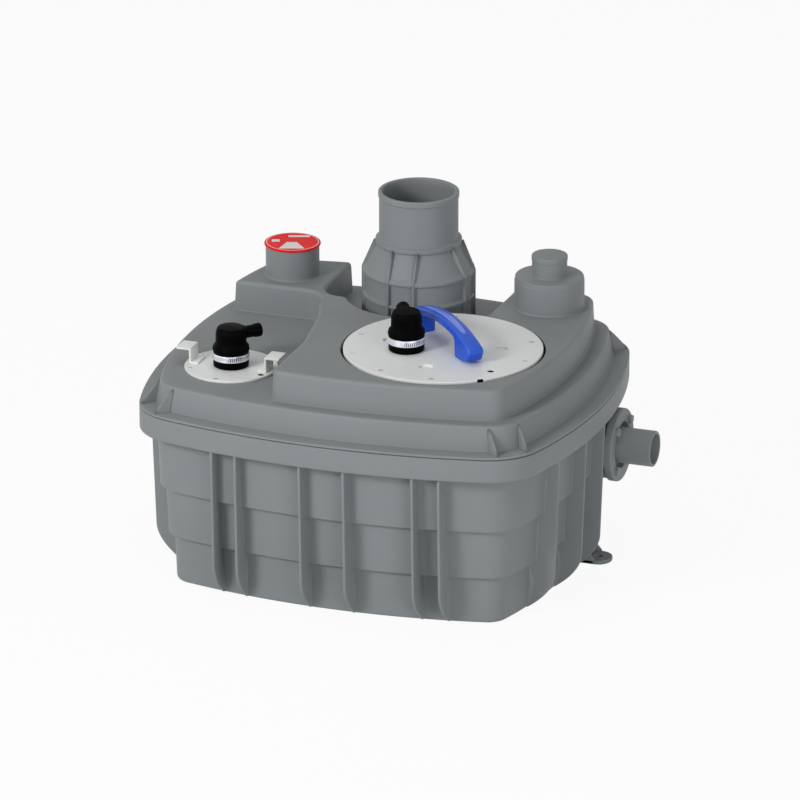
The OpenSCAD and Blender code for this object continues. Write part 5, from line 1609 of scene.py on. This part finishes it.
@dataclass
class Boot:
    """Rubber boot over a cable collar, with a side spout and a flared tip, and the band that clamps it."""

    name: str
    x: float
    y: float
    z: float
    spout: float
    housing: float
    radius: float = 24.5
    neck: float = 21.0
    height: float = 57.0
    clamp_z: float = 11.0
    clamp_w: float = 9.0
    housing_out: float = 7.4
    spout_h: float = 44.0
    spout_l: float = 45.0
    spout_r: float = 8.5

    def rubber(self) -> Skin:
        """The boot from two profiles, one round its axis and one along the spout."""
        low, high = self.clamp_z, self.clamp_z + self.clamp_w
        r, neck, top = self.radius, self.neck, self.height
        rows = [
            (AXIS, 0.1, 0), (r, 0.1, 1.6), (r, low - 1.5, 0.5), (r - 0.3, low, 0.2), (r - 0.3, high, 0.2),
            (r, high + 1, 0.5), (r + 1.2, high + 4, 2.4), (r + 0.2, high + 9, 3.5),
            (neck + 0.3, high + 13, 3.5), (neck, top - 9, 3), (neck - 2.5, top - 1.5, 3.2), (AXIS, top, 0),
        ]
        skin = Skin().at(placing((self.x, self.y, self.z)))
        skin.lathe(rows, 5, 72)
        a = math.radians(self.spout)
        way = np.array([math.cos(a), math.sin(a), 0])
        place = np.eye(4)
        place[:3, :3] = np.column_stack([[-way[1], way[0], 0], [0, 0, 1], way])
        place[:3, 3] = (self.x, self.y, self.z + self.spout_h)
        r, end = self.spout_r, self.spout_l
        rows = [
            (AXIS, 4, 0), (r + 2.5, 4, 0.5), (r + 2.2, 19, 2), (r, 23, 3), (r, end - 11, 2),
            (r + 0.9, end - 8.5, 1.2), (r + 1.1, end, 1.6), (r - 3, end, 0.8), (r - 3.6, end - 9, 0.8),
            (AXIS, end - 10, 0),
        ]
        skin.at(place).lathe(rows, 4, 48)
        return skin

    def clamp(self) -> Skin:
        """The band, with the housing of its screw."""
        low, high, out = self.clamp_z, self.clamp_z + self.clamp_w, self.housing_out
        inner, outer = self.radius + 0.05, self.radius + 1.3
        rows = [(inner, low, 0.1), (outer, low, 0.45), (outer, high, 0.45), (inner, high, 0.1)]
        skin = Skin().at(placing((self.x, self.y, self.z)))
        skin.lathe(rows, 3, 96, True)
        inner, outer = self.radius - 0.2, self.radius + out
        rows = np.array([(inner, -out, 0.5), (outer, -out, 1.6), (outer, out, 1.6), (inner, out, 0.5)])
        skin.at(placing((self.x, self.y, self.z), turn=self.housing))
        Slab(rows, low + 0.5, high - 0.5, rim=0.9, steps=4).put(skin)
        return skin

    def build(self, paint: Paint) -> None:
        """Makes the boot and its band."""
        boot, band = f"{self.name}_boot", f"{self.name}_band"
        finished(f"{boot}_skin", self.rubber(), "rubber_black", paint, [boot])
        finished(f"{self.name}_clamp_skin", self.clamp(), band, paint, [f"{boot}_clamp"])


@dataclass
class Discharge:
    """Discharge flange with a dished ring round its stub."""

    y: float = 79.5
    z: float = 169.0
    face_x: float = 305.0
    thick: float = 12.0
    radius: float = 51.0
    pipe_r: float = 25.0
    bore_r: float = 21.0
    dish_r: float = 33.0
    dish_d: float = 10.5
    tip_x: float = 364.0
    inner_x: float = 256.0

    def build(self, paint: Paint) -> None:
        """Makes the flange and stub as one closed profile round the port's axis."""
        face, front, end, tip = self.face_x, self.face_x + self.thick, self.inner_x + 1, self.tip_x
        r, pipe, bore, dish, deep = self.radius, self.pipe_r, self.bore_r, self.dish_r, front - self.dish_d
        rows = [
            (bore, end, 1), (pipe, end, 1), (pipe, face, 0.4), (r, face, 1.0), (r, front, 2.6),
            (dish, front, 1.6), (dish - 0.6, deep, 1.5), (pipe, deep, 2.5), (pipe, tip, 1.8),
            (bore, tip, 1.4),
        ]
        skin = Skin().at(placing((0, self.y, self.z), (1, 0, 0)))
        skin.lathe(rows, 5, 80, True)
        finished("discharge_skin", skin, "tank_grey", paint, ["discharge_flange"])


# nodes that keep their own mesh


class KeptNodes:
    """CAD nodes whose solid stays in view and only takes a finish."""

    special = {
        "motor_plate_screws": "screw_steel",
        "sensor_plate_screws": "screw_steel",
        "flange_bolts": "tank_grey",
        "handle_screws": "screw_steel",
        "riser_pipe": "tank_grey",
    }

    def __init__(self, frame: dict) -> None:
        """Takes the loaded frame and reads each node's slot."""
        self.nodes = frame["nodes"]
        self.slots = {part["node"]: part["material_slot"] for part in frame["record"]["subparts"]}

    def dress(self, paint: Paint) -> None:
        """Gives every node its finish."""
        for name, obj in self.nodes.items():
            finish = self.special.get(name, self.slots[name])
            obj.data.materials.clear()
            obj.data.materials.append(paint.get(finish))
        LOG.info("kept nodes: %d dressed", len(self.nodes))


# camera, floor and light


@dataclass
class Studio:
    """White floor and backdrop, soft lamps and the camera of the photograph's view."""

    azimuth: float = 19.63
    elevation: float = 20.57
    px_per_mm: float = 0.7262
    target: tuple[float, float, float] = (0.0, 0.0, 255.0)
    target_px: tuple[float, float] = (386.47, 378.36)
    lens: float = 360.0
    sensor: float = 36.0
    clip: float = 100.0
    floor_half: float = 60000.0
    floor_back: float = 14000.0
    floor_bend: float = 6000.0
    wall_top: float = 40000.0
    glow_share: float = 0.93
    floor_tone: float = 0.86
    world_seen: float = 0.66
    world_base: float = 0.34
    aim: tuple[float, float, float] = (0.0, 0.0, 0.2)

    def camera(self) -> None:
        """A long lens stands f / s away, and aims where the middle of the image falls."""
        az, el = math.radians(self.azimuth), math.radians(self.elevation)
        back = Vector((math.sin(az) * math.cos(el), -math.cos(az) * math.cos(el), math.sin(el)))
        right = Vector((math.cos(az), math.sin(az), 0))
        up = Vector((-math.sin(az) * math.sin(el), math.cos(az) * math.sin(el), math.cos(el)))
        shift = (IMAGE_PX / 2 - self.target_px[0]) * right - (IMAGE_PX / 2 - self.target_px[1]) * up
        aim = (Vector(self.target) + shift / self.px_per_mm) * MM
        distance = IMAGE_PX * self.lens / self.sensor / self.px_per_mm * MM
        data = bpy.data.cameras.new("view_camera")
        data.lens, data.sensor_width, data.clip_end = self.lens, self.sensor, self.clip
        cam = bpy.data.objects.new("view_camera", data)
        facing = Matrix((right, up, back)).transposed().to_4x4()
        cam.matrix_world = Matrix.Translation(aim + back * distance) @ facing
        bpy.context.scene.collection.objects.link(cam)
        bpy.context.scene.camera = cam

    def lamp(self, name: str, place: Sequence[float], size: float, power: float) -> None:
        """Adds a square soft lamp that looks at the model."""
        data = bpy.data.lights.new(name, "AREA")
        data.shape, data.size, data.energy = "SQUARE", size, power
        obj = bpy.data.objects.new(name, data)
        obj.location = place
        obj.rotation_euler = (Vector(self.aim) - Vector(place)).to_track_quat("-Z", "Y").to_euler()
        bpy.context.scene.collection.objects.link(obj)

    def white(self, name: str) -> bpy.types.Material:
        """Floor paint.

        What the camera and reflections see is mostly plain white, and the rest takes shadow.
        """
        mat = bpy.data.materials.new(name)
        mat.use_nodes = True
        n = Nodes(mat.node_tree)
        n.tree.nodes.clear()
        out = n.add("ShaderNodeOutputMaterial")
        matte = n.add("ShaderNodeBsdfDiffuse", in_0=(*[self.floor_tone] * 3, 1))
        glow = n.add("ShaderNodeEmission")
        path = n.add("ShaderNodeLightPath").outputs
        seen = n.math("MAXIMUM", path["Is Camera Ray"], path["Is Glossy Ray"])
        seen = n.math("MAXIMUM", seen, path["Is Transmission Ray"])
        mix = n.add("ShaderNodeMixShader", in_0=n.math("MULTIPLY", seen, self.glow_share))
        n.feed(matte.outputs[0], mix.inputs[1])
        n.feed(glow.outputs[0], mix.inputs[2])
        n.feed(mix.outputs[0], out.inputs["Surface"])
        return mat

    def floor(self) -> None:
        """Floor that bends up into the backdrop, far behind the model."""
        half, back = self.floor_half, self.floor_back
        run = turned([(-half, 0, 0), (back, 0, self.floor_bend), (back, self.wall_top, 0)], 16)
        ends = [np.column_stack([np.full(len(run), x), run[:, 0], run[:, 1] - 0.2]) for x in (-half, half)]
        skin = Skin()
        skin.grid(np.stack(ends, axis=1), around=False, flip=True)
        floor = bpy.data.objects.new("studio_floor", skin.mesh("studio_floor"))
        bpy.context.scene.collection.objects.link(floor)
        floor.data.materials.append(self.white("studio_white"))

    def world(self) -> None:
        """White world that is bright where it is seen and dimmer where it lights."""
        world = bpy.data.worlds.new("studio_world")
        bpy.context.scene.world = world
        world.use_nodes = True
        n = Nodes(world.node_tree)
        back = next(x for x in n.tree.nodes if x.type == "BACKGROUND")
        back.inputs["Color"].default_value = (1, 1, 1, 1)
        path = n.add("ShaderNodeLightPath").outputs
        seen = n.math("MAXIMUM", path["Is Camera Ray"], path["Is Glossy Ray"])
        strength = n.math("ADD", n.math("MULTIPLY", seen, self.world_seen), self.world_base)
        n.feed(strength, back.inputs["Strength"])

    def build(self) -> None:
        """Sets the stage, the world and the lamps."""
        self.camera()
        self.floor()
        self.world()
        self.lamp("key_lamp", (-1.5, -2.9, 1.95), size=0.9, power=58.0)
        self.lamp("top_lamp", (-0.4, 0.2, 3.2), size=1.8, power=13.0)
        self.lamp("fill_lamp", (2.7, -2.3, 0.7), size=1.6, power=28.0)
        bpy.context.scene.view_settings.view_transform = "Standard"


def main() -> None:
    """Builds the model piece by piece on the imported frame."""
    logging.basicConfig(level=logging.INFO, format="%(name)s %(message)s")
    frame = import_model()
    Studio().build()
    paint, plan = Paint(), Plan()
    KeptNodes(frame).dress(paint)
    top = (VentCap(), PumpPlate(), SensorPlate(), Handle())
    for part in (Tank(plan), Lid(plan), Tower(), *top, Discharge()):
        part.build(paint)
        LOG.info("%s done", type(part).__name__)
    Boot("motor", x=62.5, y=-93.5, z=338.0, spout=116.0, housing=150.0).build(paint)
    Boot("sensor", x=-180.0, y=-127.5, z=297.0, spout=48.0, housing=120.0).build(paint)


if __name__ == "__main__":
    main()
